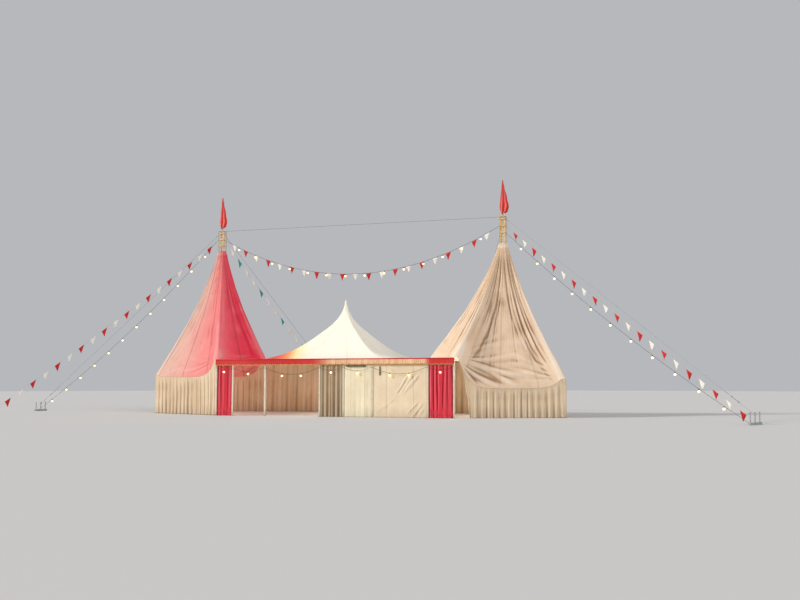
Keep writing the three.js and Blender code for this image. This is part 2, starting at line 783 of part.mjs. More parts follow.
function lines() {
  const group = new THREE.Group();
  const ridge = mastSpan / 2 - headPlateWidth / 2 - gap;
  const ridgeHeight = mastHeight - mastPlate / 2;
  const stake = named(
    "left_front_stake",
    block(frontStakeWidth, frontStakeWidth, stakeHeight, 0, 0, 0),
    galvanised,
  );
  const mastFoot = point(-mastSpan / 2, 0, 0);
  const toStake = point(frontStakeX, frontStakeY, 0).sub(mastFoot).normalize();
  stake.position.set(frontStakeX, frontStakeY, 0);
  stake.rotation.z = Math.atan2(toStake.y, toStake.x);
  const frontEnd = point(frontStakeX, frontStakeY, ropeEnd).addScaledVector(toStake, -frontStakeWidth / 2);
  const backStakeX = -mastSpan / 2 + backGuyIn;
  const bunting = {
    middle: middleLine(-middleTie, middleSag, twineRadius),
    left: seatedLine(
      point(-mastSpan / 2 - leftTie, -collarWidth / 2, buntingCollar),
      point(0, -1, 0),
      frontEnd,
      toStake.clone().negate(),
      leftBuntingSag,
      twineRadius,
    ),
    right: sideLine(sideGuys.right, buntingCollar, 1, rightBuntingSag, twineRadius),
    back: seatedLine(
      point(-mastSpan / 2 + backTie, collarWidth / 2, buntingCollar),
      point(0, 1, 0),
      point(backStakeX + blockTie, backGuyY - ropeBlockWidth / 2, ropeBlockBase + blockRise),
      point(0, -1, 0),
      backBuntingSag,
      twineRadius,
    ),
  };
  const festoon = {
    middle: middleLine(-collarTie, middleSag, cableRadius),
    left: sideLine(sideGuys.left, buntingCollar, -1, leftFestoonSag, cableRadius),
    right: sideLine(sideGuys.right, festoonCollar, -1, rightFestoonSag, cableRadius),
  };
  const spacing = { middle: bulbSpacing, left: bulbSpacing, right: rightBulbSpacing };
  group.add(
    stake,
    named(
      "ridge_cable",
      bar(point(-ridge, 0, ridgeHeight), point(ridge, 0, ridgeHeight), guyRadius, 8),
      galvanised,
    ),
    sideGuy("left"),
    sideGuy("right"),
    named("left_back_guy", backGuy(-1), galvanised),
    named("right_back_guy", backGuy(1), galvanised),
    named("festoon_front", frontFestoon(), bulbGlass),
  );
  for (const [place, curve] of Object.entries(bunting)) {
    group.add(named(`bunting_${place}`, flagString(curve), redCanvas));
  }
  for (const [place, curve] of Object.entries(festoon)) {
    group.add(named(`festoon_${place}`, fused(bulbsAlong(curve, spacing[place])), blackRubber));
  }
  return group;
}

function linkRoofs() {
  const group = new THREE.Group();
  group.position.z = eaveHeight + gap;
  group.add(
    named("left_link_roof", linkRoof(-1), canvas),
    named("right_link_roof", linkRoof(1), canvas),
  );
  return group;
}

const bigTop = new THREE.Group();
bigTop.name = "circus_big_top";
bigTop.add(
  peakTent("left", -1, leftApex, leftOuterHem),
  peakTent("right", 1, rightApex, rightOuterHem),
  frontLine(),
  backLine(),
  pagoda(),
  linkRoofs(),
  lines(),
);

export default bigTop;
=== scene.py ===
import math
import random

import bmesh
import bpy
from mathutils import Matrix, Vector, noise


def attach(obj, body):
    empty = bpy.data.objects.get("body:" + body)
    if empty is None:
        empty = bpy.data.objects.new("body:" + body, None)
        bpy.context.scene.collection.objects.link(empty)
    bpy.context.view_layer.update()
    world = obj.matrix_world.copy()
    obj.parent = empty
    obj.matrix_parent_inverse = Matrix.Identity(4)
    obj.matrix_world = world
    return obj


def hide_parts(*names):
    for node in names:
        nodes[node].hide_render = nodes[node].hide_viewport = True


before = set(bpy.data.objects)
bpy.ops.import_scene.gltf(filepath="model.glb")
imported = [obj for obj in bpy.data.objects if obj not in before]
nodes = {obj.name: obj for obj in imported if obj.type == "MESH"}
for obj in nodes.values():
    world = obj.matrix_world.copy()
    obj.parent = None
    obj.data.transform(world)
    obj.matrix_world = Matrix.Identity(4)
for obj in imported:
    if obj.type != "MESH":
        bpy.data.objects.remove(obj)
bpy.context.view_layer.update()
scene = bpy.context.scene

# Places that the part's source has too.
tent = {
    "mastX": 7.1, "mastHeight": 9.0, "collar": 0.138, "guyCollar": 8.88, "flagCollar": 8.56,
    "lightCollar": 8.26, "front": 3.15, "innerFoot": (4.0, -1.3), "innerBack": (5.3146, 1.3),
    "pagodaX": -0.5, "pagodaHalf": 3.1197, "frontPosts": (-5.6, -4.77, -3.16, -0.51, 0.61, 1.95, 4.45, 5.6),
    "backPosts": (-6.25, -3.16, -0.51, 2.4, 6.25),
    "leftFoot": (-17.6, 0.0), "rightFoot": (17.39, -5.6), "backFoot": (3.1, 7.688),
    "frontStake": (-14.0, -7.682), "stakeEye": 0.36,
}
sideFeet = ((-1, tent["leftFoot"]), (1, tent["rightFoot"]))


# Camera

view = {"place": (15.97, -42.76, 1.6), "aim": (2.22, -0.07, 5.32), "lens": 43.5, "far": 400}


# A camera or light at its place, turned to its aim.
def aimed(name, data, place, aim):
    made = bpy.data.objects.new(name, data)
    made.location = place
    made.rotation_euler = (Vector(aim) - Vector(place)).to_track_quat("-Z", "Y").to_euler()
    scene.collection.objects.link(made)
    return made


camera = aimed("photoCamera", bpy.data.cameras.new("photoCamera"), view["place"], view["aim"])
camera.data.lens = view["lens"]
camera.data.clip_end = view["far"]
scene.camera = camera
print("stage: camera")


# Shader maths as Python expressions

class Wire:
    # One output of a node. Arithmetic on it adds Math nodes.
    def __init__(self, finish, socket):
        self.finish = finish
        self.socket = socket

    def maths(self, operation, *values):
        return self.finish.node("ShaderNodeMath", {"operation": operation}, dict(enumerate(values)))

    def __add__(self, other):
        return self.maths("ADD", self, other)

    def __sub__(self, other):
        return self.maths("SUBTRACT", self, other)

    def __rsub__(self, other):
        return self.maths("SUBTRACT", other, self)

    def __mul__(self, other):
        return self.maths("MULTIPLY", self, other)

    def __truediv__(self, other):
        return self.maths("DIVIDE", self, other)

    __radd__ = __add__
    __rmul__ = __mul__

    def fract(self):
        return self.maths("FRACT", self)

    def size(self):
        return self.maths("ABSOLUTE", self)

    def wave(self):
        return self.maths("SINE", self)

    def turnFrom(self, other):
        return self.maths("ARCTAN2", self, other)

    # 0 below low, 1 above high, smooth between.
    def between(self, low, high):
        sockets = {"Value": self, "From Min": low, "From Max": high}
        return self.finish.node("ShaderNodeMapRange", {"interpolation_type": "SMOOTHSTEP"}, sockets)


class Finish:
    # A material under construction. Every node but the shader comes from its method node.
    def __init__(self, name, roughness, metallic=0.0, sheen=0.0, specular=0.5):
        self.material = bpy.data.materials.new(name)
        self.material.use_nodes = True
        self.tree = self.material.node_tree
        self.shader = self.tree.nodes["Principled BSDF"]
        self.set("Roughness", roughness)
        self.set("Metallic", metallic)
        self.set("Sheen Weight", sheen)
        self.set("Specular IOR Level", specular)

    def node(self, kind, settings, sockets, output=0):
        made = self.tree.nodes.new(kind)
        for name, value in settings.items():
            if name == "stops":
                ramp = made.color_ramp.elements
                while len(ramp) < len(value):
                    ramp.new(1)
                for stop, (place, colour) in zip(ramp, value):
                    stop.position = place
                    stop.color = (*srgb(colour), 1)
            else:
                setattr(made, name, value)
        for name, value in sockets.items():
            self.feed(made.inputs[name], value)
        return Wire(self, made.outputs[output])

    def feed(self, socket, value):
        if isinstance(value, Wire):
            self.tree.links.new(value.socket, socket)
        elif isinstance(value, tuple) and len(value) == 3 and len(socket.default_value) == 4:
            socket.default_value = (*value, 1)
        else:
            socket.default_value = value

    def set(self, name, value):
        self.feed(self.shader.inputs[name], value)

    def places(self):
        return self.node("ShaderNodeTexCoord", {}, {}, "Object")

    def layout(self):
        return self.node("ShaderNodeUVMap", {"uv_map": "cloth"}, {})

    # How deep a spot lies among the folds round it: 0 on a ridge, 0.5 on a flat, 1 in a valley. The finishes
    # paint shade and highlight from it.
    def hollows(self):
        return self.node("ShaderNodeAttribute", {"attribute_name": "hollow"}, {}, "Fac")

    def stretched(self, vector, scale):
        return self.node("ShaderNodeMapping", {}, {"Vector": vector, "Scale": scale})

    def split(self, vector):
        return [self.node("ShaderNodeSeparateXYZ", {}, {"Vector": vector}, axis) for axis in "XYZ"]

    def blotches(self, vector, scale, detail, roughness=0.6):
        sockets = {"Vector": vector, "Scale": scale, "Detail": detail, "Roughness": roughness}
        return self.node("ShaderNodeTexNoise", {}, sockets)

    def mix(self, share, first, second, blend="MIX"):
        settings = {"data_type": "RGBA", "blend_type": blend}
        return self.node("ShaderNodeMix", settings, {0: share, 6: first, 7: second}, 2)

    def ramp(self, value, stops):
        return self.node("ShaderNodeValToRGB", {"stops": stops}, {"Fac": value}, "Color")

    def relief(self, height, distance, strength):
        sockets = {"Height": height, "Distance": distance, "Strength": strength}
        self.set("Normal", self.node("ShaderNodeBump", {}, sockets))


# A colour of three bytes as a shader takes it.
def srgb(colour):
    def linear(value):
        return value / 12.92 if value <= 0.04045 else ((value + 0.055) / 1.055) ** 2.4
    return tuple(round(linear(value / 255), 4) for value in colour)


# Finishes

# hollow is the colour of the painted shade in the hollows of folds, and ridge that of the painted highlight on
# their ridges.
weave = {
    "roughness": 0.86, "sheen": 0.1, "specular": 0.25, "thread": 0.0035, "cloud": 0.55,
    "streak": (2.6, 2.6, 0.35), "fleck": (260, 60, 1), "worn": 0.22, "mud": (112, 98, 80), "stitches": 780,
    "stitch": 0.0015, "hollow": (0.4, 0.29, 0.22), "ridge": (1.0, 0.96, 0.88), "relief": 0.0012,
}


# Woven cloth with a UV map in metres. Seams run along V, and taper is the share of their spacing at the top.
def canvasFinish(name, colours, seams=None, dirt=0.25, paint=None, shade=0.0):
    finish = Finish(name, weave["roughness"], sheen=weave["sheen"], specular=weave["specular"])
    main, second, worn = map(srgb, colours)
    spots = finish.places()
    x, y, z = finish.split(spots)
    cloth = finish.layout()
    u, v, _ = finish.split(cloth)
    cloudy = finish.blotches(spots, weave["cloud"], 5)
    streaks = finish.blotches(finish.stretched(spots, weave["streak"]), 1.0, 4)
    colour = finish.mix(cloudy.between(0.35, 0.7), main, second)
    if paint:
        colour = paint(finish, colour, x, y, z, cloudy)
    colour = finish.mix(streaks.between(0.5, 0.78) * weave["worn"], colour, worn)
    lowDirt = (1 - (z + cloudy * 0.3).between(0.12, 0.75)) * dirt
    colour = finish.mix(lowDirt, colour, srgb(weave["mud"]))
    threads = 2 * math.pi / weave["thread"]
    fleck = finish.blotches(finish.stretched(cloth, weave["fleck"]), 1.0, 2)
    height = (u * threads).wave() * (v * threads).wave() * 0.25 + fleck * 0.35
    if seams:
        width, taper, line = seams["width"], seams.get("taper", 1.0), srgb(seams["colour"])
        spread = (v * ((1 - taper) / seams.get("length", 1.0)) + taper) * seams["every"]
        aside = ((u / seams["every"]).fract() - 0.5).size() * spread
        lap = 1 - aside.between(width * 0.8, width)
        stitch = 1 - (aside - width * 0.62).size().between(weave["stitch"], 2 * weave["stitch"])
        stitch = stitch * (v * weave["stitches"]).wave().between(-0.2, 0.2)
        height = height + lap * 1.4 - stitch * 0.9
        edge = (1 - (aside - width).size().between(0.004, 0.014)) * seams.get("dark", 0.45)
        colour = finish.mix(edge * (cloudy * 0.5 + 0.4), colour, line)
        colour = finish.mix(lap * 0.18, colour, line)
    # Painted shade in the hollows of the folds and painted highlight on their ridges, as strong as shade says.
    if shade:
        depth = finish.hollows()
        colour = finish.mix(depth.between(0.54, 1.0) * shade, colour, weave["hollow"], "MULTIPLY")
        colour = finish.mix((1 - depth.between(0.05, 0.46)) * shade * 0.3, colour, weave["ridge"])
    finish.set("Base Color", colour)
    finish.set("Roughness", 0.8 + cloudy * 0.14)
    finish.relief(height, weave["relief"], 0.8)
    return finish.material


# The ramp of painted red floodlight on the left peak's canvas.
redFloodlightRamp = ((0.0, (212, 180, 160)), (0.25, (222, 160, 148)), (0.5, (232, 128, 126)), (0.78, (236, 84, 98)),
              (1.0, (224, 42, 68)))
# The ramp of painted warm light on the pagoda's canvas.
warmLightRamp = ((0.0, (246, 240, 222)), (0.35, (248, 230, 166)), (0.7, (240, 152, 96)), (1.0, (224, 72, 60)))
paleBand = {"from": (-0.9, 0.3), "to": (4.2, 4.6), "top": (2.505, 2.512),
          "streak": (5, 5, 0.3), "colour": (238, 208, 160)}


# The left peak's canvas is painted with the red of a floodlight: crimson on its inner side, fading to natural
# canvas at its outer side and its tip.
def paintedRedFloodlight(finish, colour, x, y, z, cloudy):
    turn = (x + tent["mastX"]).turnFrom(y.size() + 0.02)
    share = turn * 0.32 + 0.42 + (cloudy - 0.5) * 0.2 + turn.between(0.35, 0.8) * (1.35 - z * 0.14) * 0.3
    return finish.ramp(share, redFloodlightRamp)


# The pagoda's canvas is painted with warm light, fading from white through yellow to red towards its low left
# edge.
def paintedWarmLight(finish, colour, x, y, z, cloudy):
    share = 0.0 - x * 0.55 - z * 0.28 + 0.3 + (cloudy - 0.5) * 0.2
    return finish.ramp(share.between(0.2, 1.25), warmLightRamp)


# The valance is paler over the middle of the front, most in streaks, but not its bound top edge.
def paleMiddle(finish, colour, x, y, z, cloudy):
    middle = x.between(*paleBand["from"]) * (1 - x.between(*paleBand["to"])) * (1 - z.between(*paleBand["top"]))
    streaks = finish.blotches(finish.stretched(finish.places(), paleBand["streak"]), 1.0, 3).between(0.35, 0.7)
    return finish.mix(middle * (streaks * 0.3 + 0.6), colour, srgb(paleBand["colour"]))


pile = {"roughness": 0.3, "sheen": 0.3, "specular": 0.6, "nap": (9, 9, 0.7), "thread": 2400,
        "fleck": (500, 40, 1), "hem": 2.36, "relief": 0.0009}


# Deep pile or satin, with a painted highlight along its raised folds and painted shade in its hollows.
def curtainFinish(name, colours):
    finish = Finish(name, pile["roughness"], sheen=pile["sheen"], specular=pile["specular"])
    main, second, deep, bright = map(srgb, colours)
    nap = finish.blotches(finish.stretched(finish.places(), pile["nap"]), 1.0, 4)
    colour = finish.mix(nap.between(0.3, 0.75), main, second)
    cloth = finish.layout()
    u, v, _ = finish.split(cloth)
    fleck = finish.blotches(finish.stretched(cloth, pile["fleck"]), 1.0, 2)
    hem = (1 - (v - pile["hem"]).size().between(0.004, 0.012)) * 0.5
    depth = finish.hollows()
    colour = finish.mix(hem, colour, deep)
    # Painted shade in the hollows of the folds, then a painted highlight along their ridges.
    colour = finish.mix(depth.between(0.5, 0.95) * 0.8, colour, deep)
    colour = finish.mix((1 - depth.between(0.05, 0.36)) * 0.5, colour, bright)
    finish.set("Base Color", colour)
    finish.set("Roughness", 0.24 + nap * 0.16)
    finish.relief((u * pile["thread"]).wave() * 0.3 + fleck * 0.5, pile["relief"], 0.7)
    return finish.material


paint = {"roughness": 0.45, "patch": 5.5, "fine": 60, "edge": 0.035, "mud": (104, 90, 70), "relief": 0.0008}


def paintedSteel(name, colour, worn, rust, chips):
    finish = Finish(name, paint["roughness"])
    spots = finish.places()
    _, _, z = finish.split(spots)
    patches = finish.blotches(spots, paint["patch"], 6, 0.7)
    fine = finish.blotches(spots, paint["fine"], 3)
    tone = finish.mix(patches.between(0.3, 0.75), srgb(colour), srgb(worn))
    chipped = (patches * 0.7 + fine * 0.3).between(chips, chips + paint["edge"])
    tone = finish.mix(chipped, tone, srgb(rust))
    mud = (1 - (z + patches * 0.4).between(0.18, 0.6)) * 0.45
    finish.set("Base Color", finish.mix(mud, tone, srgb(paint["mud"])))
    finish.set("Metallic", chipped * 0.35)
    finish.set("Roughness", paint["roughness"] + patches * 0.2 + chipped * 0.15)
    finish.relief(fine * 0.5 - chipped * 1.2, paint["relief"], 0.6)
    return finish.material


spangle = {"scale": 70.0, "colour": (150, 153, 154), "bright": 1.4, "dull": (110, 100, 88), "relief": 0.0008}


def zincSteel(name, metallic, roughness):
    finish = Finish(name, roughness, metallic=metallic)
    spots = finish.places()
    sockets = {"Vector": spots, "Scale": spangle["scale"]}
    flake = finish.node("ShaderNodeTexVoronoi", {"feature": "F1"}, sockets, "Color")
    grey = finish.node("ShaderNodeRGBToBW", {}, {"Color": flake})
    dull = finish.blotches(spots, 7, 4)
    base = srgb(spangle["colour"])
    colour = finish.mix(grey, base, tuple(min(part * spangle["bright"], 1) for part in base))
    finish.set("Base Color", finish.mix(dull.between(0.5, 0.75) * 0.4, colour, srgb(spangle["dull"])))
    finish.set("Roughness", roughness + dull * 0.3)
    finish.relief(grey * 0.2 + dull * 0.4, spangle["relief"], 0.5)
    return finish.material


# Rope whose lay is painted darker in the grooves between its strands, a painted shade; grime blotches it with
# the same dark colour.
def ropeFinish(name, colour, shade, pitch):
    finish = Finish(name, 0.7, specular=0.3)
    spots = finish.places()
    x, y, z = finish.split(spots)
    lay = ((x + y + z) * (2 * math.pi / pitch)).wave()
    grime = finish.blotches(spots, 9, 4)
    tone = finish.mix(lay * 0.5 + 0.5, srgb(shade), srgb(colour))
    finish.set("Base Color", finish.mix(grime.between(0.35, 0.7), tone, srgb(shade)))
    finish.relief(lay, 0.001, 0.8)
    return finish.material


glow = {"warm": (1.0, 0.6, 0.26), "pale": (1.0, 0.76, 0.42), "strength": 2.4}


def glowingGlass(name):
    finish = Finish(name, 0.18, specular=0.6)
    swirl = finish.blotches(finish.places(), 30, 2)
    finish.set("Base Color", finish.mix(swirl, srgb((255, 206, 122)), srgb((255, 226, 160))))
    finish.set("Emission Color", finish.mix(swirl, glow["warm"], glow["pale"]))
    finish.set("Emission Strength", glow["strength"])
    return finish.material


def plainMatter(name, colour, shade, roughness, scale=40.0):
    finish = Finish(name, roughness, specular=0.4)
    dapple = finish.blotches(finish.places(), scale, 4)
    finish.set("Base Color", finish.mix(dapple.between(0.3, 0.7), srgb(colour), srgb(shade)))
    finish.set("Roughness", roughness + dapple * 0.12)
    finish.relief(dapple, 0.0006, 0.5)
    return finish.material


# A canvas's shade is the strength of the painted shade in its fold hollows and the painted highlight on its
# ridges.
seamDark = (150, 118, 88)
rightPeakCanvas = canvasFinish(
    "rightPeakCanvas", ((230, 202, 172), (216, 184, 152), (182, 148, 118)),
    {"every": 1.7, "width": 0.02, "taper": 0.075, "length": 6.7, "colour": seamDark, "dark": 0.3}, shade=0.85)
# The left peak is natural canvas painted with red floodlight; its worn streaks and seams are tinted red with
# the same painted light.
leftPeakCanvas = canvasFinish(
    "leftPeakCanvas", ((206, 178, 150), (206, 178, 150), (176, 92, 84)),
    {"every": 1.9, "width": 0.022, "taper": 0.075, "length": 6.9, "colour": (120, 46, 44), "dark": 0.75},
    paint=paintedRedFloodlight, shade=0.45)
pagodaCanvas = canvasFinish(
    "pagodaCanvas", ((250, 246, 232), (245, 239, 220), (222, 208, 176)),
    {"every": 3.12, "width": 0.022, "taper": 0.02, "length": 4.6, "colour": (206, 190, 156), "dark": 0.3},
    dirt=0, paint=paintedWarmLight)
wallCanvas = canvasFinish(
    "wallCanvas", ((224, 200, 168), (208, 182, 148), (174, 146, 114)),
    {"every": 1.1, "width": 0.02, "colour": seamDark}, shade=0.5)
ivoryCanvas = canvasFinish(
    "ivoryCanvas", ((240, 228, 196), (228, 210, 176), (196, 176, 148)),
    {"every": 0.64, "width": 0.018, "colour": (176, 152, 116), "dark": 0.3}, shade=0.4)
tanCanvas = canvasFinish(
    "tanCanvas", ((234, 216, 186), (222, 198, 164), (186, 158, 126)),
    {"every": 1.22, "width": 0.018, "colour": seamDark, "dark": 0.25}, shade=0.8)
# The brown panels' dark tone is partly their own colour and partly painted shade, as they stood back in
# shadow.
shadedBrownCanvas = canvasFinish(
    "shadedBrownCanvas", ((172, 146, 112), (150, 124, 94), (112, 90, 68)),
    {"every": 0.53, "width": 0.02, "colour": (206, 184, 150), "dark": 0.6}, shade=0.5)
roofCanvas = canvasFinish(
    "roofCanvas", ((232, 218, 190), (218, 200, 168), (182, 160, 128)),
    {"every": 1.5, "width": 0.02, "colour": seamDark})
valanceCanvas = canvasFinish(
    "valanceCanvas", ((212, 52, 54), (196, 40, 44), (160, 32, 36)), dirt=0, paint=paleMiddle, shade=0.3)
bindingTape = canvasFinish("bindingTape", ((206, 42, 48), (186, 32, 38), (150, 26, 32)), dirt=0)
pennantCloth = canvasFinish("pennantCloth", ((216, 60, 50), (196, 42, 38), (150, 30, 30)), dirt=0, shade=0.7)
flagCloths = {
    "red": canvasFinish("redFlag", ((204, 44, 40), (186, 34, 32), (140, 26, 26)), dirt=0),
    "white": canvasFinish("whiteFlag", ((240, 236, 226), (226, 222, 212), (190, 184, 172)), dirt=0),
    "teal": canvasFinish("tealFlag", ((64, 148, 142), (50, 128, 124), (40, 100, 98)), dirt=0),
}
# The third colour is the painted shade in the curtain's hollows and its dark hem line, the fourth its painted
# highlight.
redVelvet = curtainFinish("redVelvet", ((222, 26, 54), (196, 16, 40), (104, 6, 20), (250, 120, 134)))
goldFringe = plainMatter("goldFringe", (232, 186, 104), (206, 150, 74), 0.5)
mastPaint = paintedSteel("mastPaint", (232, 198, 134), (208, 166, 102), (122, 82, 52), 0.62)
whitePaint = paintedSteel("whitePaint", (222, 212, 190), (200, 188, 164), (120, 86, 62), 0.66)
zinc = zincSteel("zinc", 0.9, 0.34)
agedZinc = zincSteel("agedZinc", 0.3, 0.64)
wireRope = ropeFinish("wireRope", (176, 176, 172), (112, 112, 110), 0.03)
twine = ropeFinish("twine", (226, 216, 194), (176, 160, 132), 0.012)
rubber = plainMatter("rubber", (34, 31, 29), (48, 44, 41), 0.6)
lampGlass = glowingGlass("lampGlass")
webbing = plainMatter("webbing", (92, 74, 54), (72, 56, 42), 0.75, 120.0)
print("stage: finishes")


# Making pieces

# Stores how deep each spot of a cloth lies among its folds, seen from outside, for the finishes to paint shade
# and highlight from.
def markHollows(bm, inside, reach, passes):
    layer = bm.verts.layers.float.new("hollow")
    relaxed = bm.copy()
    allWays = {"use_axis_x": True, "use_axis_y": True, "use_axis_z": True}
    for _ in range(passes):
        bmesh.ops.smooth_vert(relaxed, verts=relaxed.verts, factor=0.5, **allWays)
    bm.normal_update()
    facing = sum(vert.normal.dot(vert.co - inside) for vert in bm.verts)
    for vert, calm in zip(bm.verts, relaxed.verts):
        depth = (calm.co - vert.co).dot(vert.normal) * (1 if facing > 0 else -1)
        vert[layer] = min(max(0.5 + depth / (2 * reach), 0), 1)
    relaxed.free()


def piece(name, bm, material, slotName, thickness=0.0, replaced=(), bend=None, turnOut=True):
    if turnOut:
        bmesh.ops.recalc_face_normals(bm, faces=bm.faces)
    mesh = bpy.data.meshes.new(name)
    bm.to_mesh(mesh)
    bm.free()
    mesh.shade_smooth()
    if bend is not None:
        mesh.set_sharp_from_angle(angle=math.radians(bend))
    mesh.materials.append(material)
    made = bpy.data.objects.new(name, mesh)
    if thickness:
        wall = made.modifiers.new("cloth", "SOLIDIFY")
        wall.thickness = thickness
        wall.offset = 0
    return riding(made, slotName, replaced)


def riding(made, slotName, replaced=()):
    scene.collection.objects.link(made)
    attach(made, "root")
    if replaced:
        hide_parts(*replaced)
    return made


# A grid of cloth: place(u, v) gives each point, u across and v down. Its UV map is in metres.
def clothGrid(bm, across, down, size, place, closed=False):
    uvLayer = bm.loops.layers.uv.get("cloth") or bm.loops.layers.uv.new("cloth")
    made = bmesh.ops.create_grid(bm, x_segments=across, y_segments=down, size=0.5)["verts"]
    reach = max(vert.co.x for vert in made)
    for vert in made:
        vert.co = (vert.co.x / (2 * reach) + 0.5, 0.5 - vert.co.y / (2 * reach), 0)
    for face in {face for vert in made for face in vert.link_faces}:
        for loop in face.loops:
            loop[uvLayer].uv = (loop.vert.co.x * size[0], loop.vert.co.y * size[1])
    for vert in made:
        vert.co = place(vert.co.x, vert.co.y)
    if closed:
        bmesh.ops.remove_doubles(bm, verts=made, dist=0.0002)


# One cloth as a piece. Inside is a point within it, and depth and passes say how markHollows reads its folds.
def clothPiece(name, across, down, size, place, material, slotName, thickness=0.003, replaced=(), closed=False,
               inside=(0, 0, 0), depth=0.012, passes=24):
    bm = bmesh.new()
    clothGrid(bm, across, down, size, place, closed)
    bmesh.ops.recalc_face_normals(bm, faces=bm.faces)
    markHollows(bm, Vector(inside), depth, passes)
    print("cloth", name, round(sum(face.calc_area() for face in bm.faces), 2), "square metres")
    return piece(name, bm, material, slotName, thickness, replaced)


def rod(bm, start, end, radius, sides, endRadius=None):
    start, end = Vector(start), Vector(end)
    along = end - start
    turn = along.to_track_quat("Z", "Y").to_matrix().to_4x4()
    bmesh.ops.create_cone(
        bm, cap_ends=True, segments=sides, radius1=radius, radius2=radius if endRadius is None else endRadius,
        depth=along.length, matrix=Matrix.Translation((start + end) / 2) @ turn)


# A short rod by its middle.
def collar(bm, middle, along, half, radius, sides):
    rod(bm, middle - along * half, middle + along * half, radius, sides)


def slab(bm, size, centre, bevel, turn=None):
    matrix = Matrix.Translation(centre) @ (turn or Matrix()) @ Matrix.Diagonal((*size, 1))
    made = bmesh.ops.create_cube(bm, size=1, matrix=matrix)["verts"]
    edges = list({edge for vert in made for edge in vert.link_edges})
    bmesh.ops.bevel(bm, geom=edges, offset=bevel, offset_type="OFFSET", affect="EDGES",
                    segments=2, profile=0.5, material=-1)


def shapeMesh(build):
    bm = bmesh.new()
    build(bm)
    bmesh.ops.recalc_face_normals(bm, faces=bm.faces)
    mesh = bpy.data.meshes.new("shape")
    bm.to_mesh(mesh)
    bm.free()
    return mesh


# A turned shape: the profile's points are (radius, height).
def turnedShape(profile, steps):
    def build(bm):
        verts = [bm.verts.new((radius, 0, height)) for radius, height in profile]
        edges = [bm.edges.new(pair) for pair in zip(verts, verts[1:])]
        bmesh.ops.spin(bm, geom=verts + edges, cent=(0, 0, 0), axis=(0, 0, 1), dvec=(0, 0, 0),
                       angle=2 * math.pi, steps=steps, use_merge=True, use_duplicate=False)
        bmesh.ops.remove_doubles(bm, verts=bm.verts, dist=0.00005)
    return shapeMesh(build)


def stamp(bm, shape, matrix):
    before = len(bm.verts)
    bm.from_mesh(shape)
    bm.verts.ensure_lookup_table()
    bmesh.ops.transform(bm, matrix=matrix, verts=bm.verts[before:])


# Points at even distances along a line of points.
def evenly(points, count):
    reach = [0.0]
    for first, second in zip(points, points[1:]):
        reach.append(reach[-1] + (second - first).length)
    made = []
    spot = 0
    for step in range(count + 1):
        goal = reach[-1] * step / count
        while spot < len(points) - 2 and reach[spot + 1] < goal:
            spot += 1
        share = (goal - reach[spot]) / max(reach[spot + 1] - reach[spot], 1e-9)
        made.append(points[spot].lerp(points[spot + 1], min(max(share, 0), 1)))
    return made


def pathLength(points):
    return sum((second - first).length for first, second in zip(points, points[1:]))


# Smooth random value of one number.
def wander(value, seed=0.0):
    return noise.noise(Vector((value, seed * 7.31 + 0.5, seed * 3.17)))


def smooth(low, high, value):
    share = min(max((value - low) / (high - low), 0), 1)
    return share * share * (3 - 2 * share)


# Cords: festoon lights and bunting lines

def hanging(start, end, sag, count=64):
    start, end = Vector(start), Vector(end)
    shares = [i / count for i in range(count + 1)]
    return [start.lerp(end, share) - Vector((0, 0, 4 * sag * share * (1 - share))) for share in shares]


def corded(name, points, radius, material, slotName, replaced):
    curve = bpy.data.curves.new(name, "CURVE")
    curve.dimensions = "3D"
    curve.bevel_depth = radius
    curve.bevel_resolution = 2
    curve.use_fill_caps = True
    line = curve.splines.new("POLY")
    line.points.add(len(points) - 1)
    for spot, place in zip(line.points, points):
        spot.co = (*place, 1)
    curve.materials.append(material)
    return riding(bpy.data.objects.new(name, curve), slotName, replaced)


# The profiles of a bulb and its holder, as (radius, height over the holder's shoulder).
lamp = {
    "spacing": 1.0, "wideSpacing": 1.17, "drop": 0.004, "sides": 12, "cable": 0.006,
    "holder": ((0, 0.012), (0.011, 0.01), (0.013, -0.004), (0.018, -0.012), (0.019, -0.04), (0.021, -0.044),
               (0.021, -0.052), (0.014, -0.054), (0, -0.054)),
    "bulb": ((0, -0.05), (0.013, -0.05), (0.015, -0.058), (0.03, -0.07), (0.0425, -0.084), (0.047, -0.1),
             (0.0435, -0.118), (0.033, -0.132), (0.018, -0.1405), (0, -0.143)),
}
holderShape, bulbShape = [
    turnedShape([(radius, height - lamp["drop"]) for radius, height in lamp[part]], lamp["sides"])
    for part in ("holder", "bulb")]


def festoon(name, points, lampSpots):
    line = corded(name + "_cable", points, lamp["cable"], rubber, "festoon_light", (name,))
    holders, bulbs = bmesh.new(), bmesh.new()
    for spot in lampSpots:
        stamp(holders, holderShape, Matrix.Translation(spot))
        stamp(bulbs, bulbShape, Matrix.Translation(spot))
    parts = [piece(name + "_holders", holders, rubber, "festoon_light", bend=40),
             piece(name + "_bulbs", bulbs, lampGlass, "festoon_light")]
    length = round(pathLength(points), 2)
    print("cord", name, length, "m", len(lampSpots), "lamps")
    tuple(points[0])


def lampsOn(points, spacing=lamp["spacing"]):
    steps = max(round(pathLength(points) / spacing), 2)
    return evenly(points, steps)[1:-1]


flag = {"width": 0.25, "drop": 0.33, "spacing": 0.65, "line": 0.004, "under": 0.003, "cloth": 0.0016}


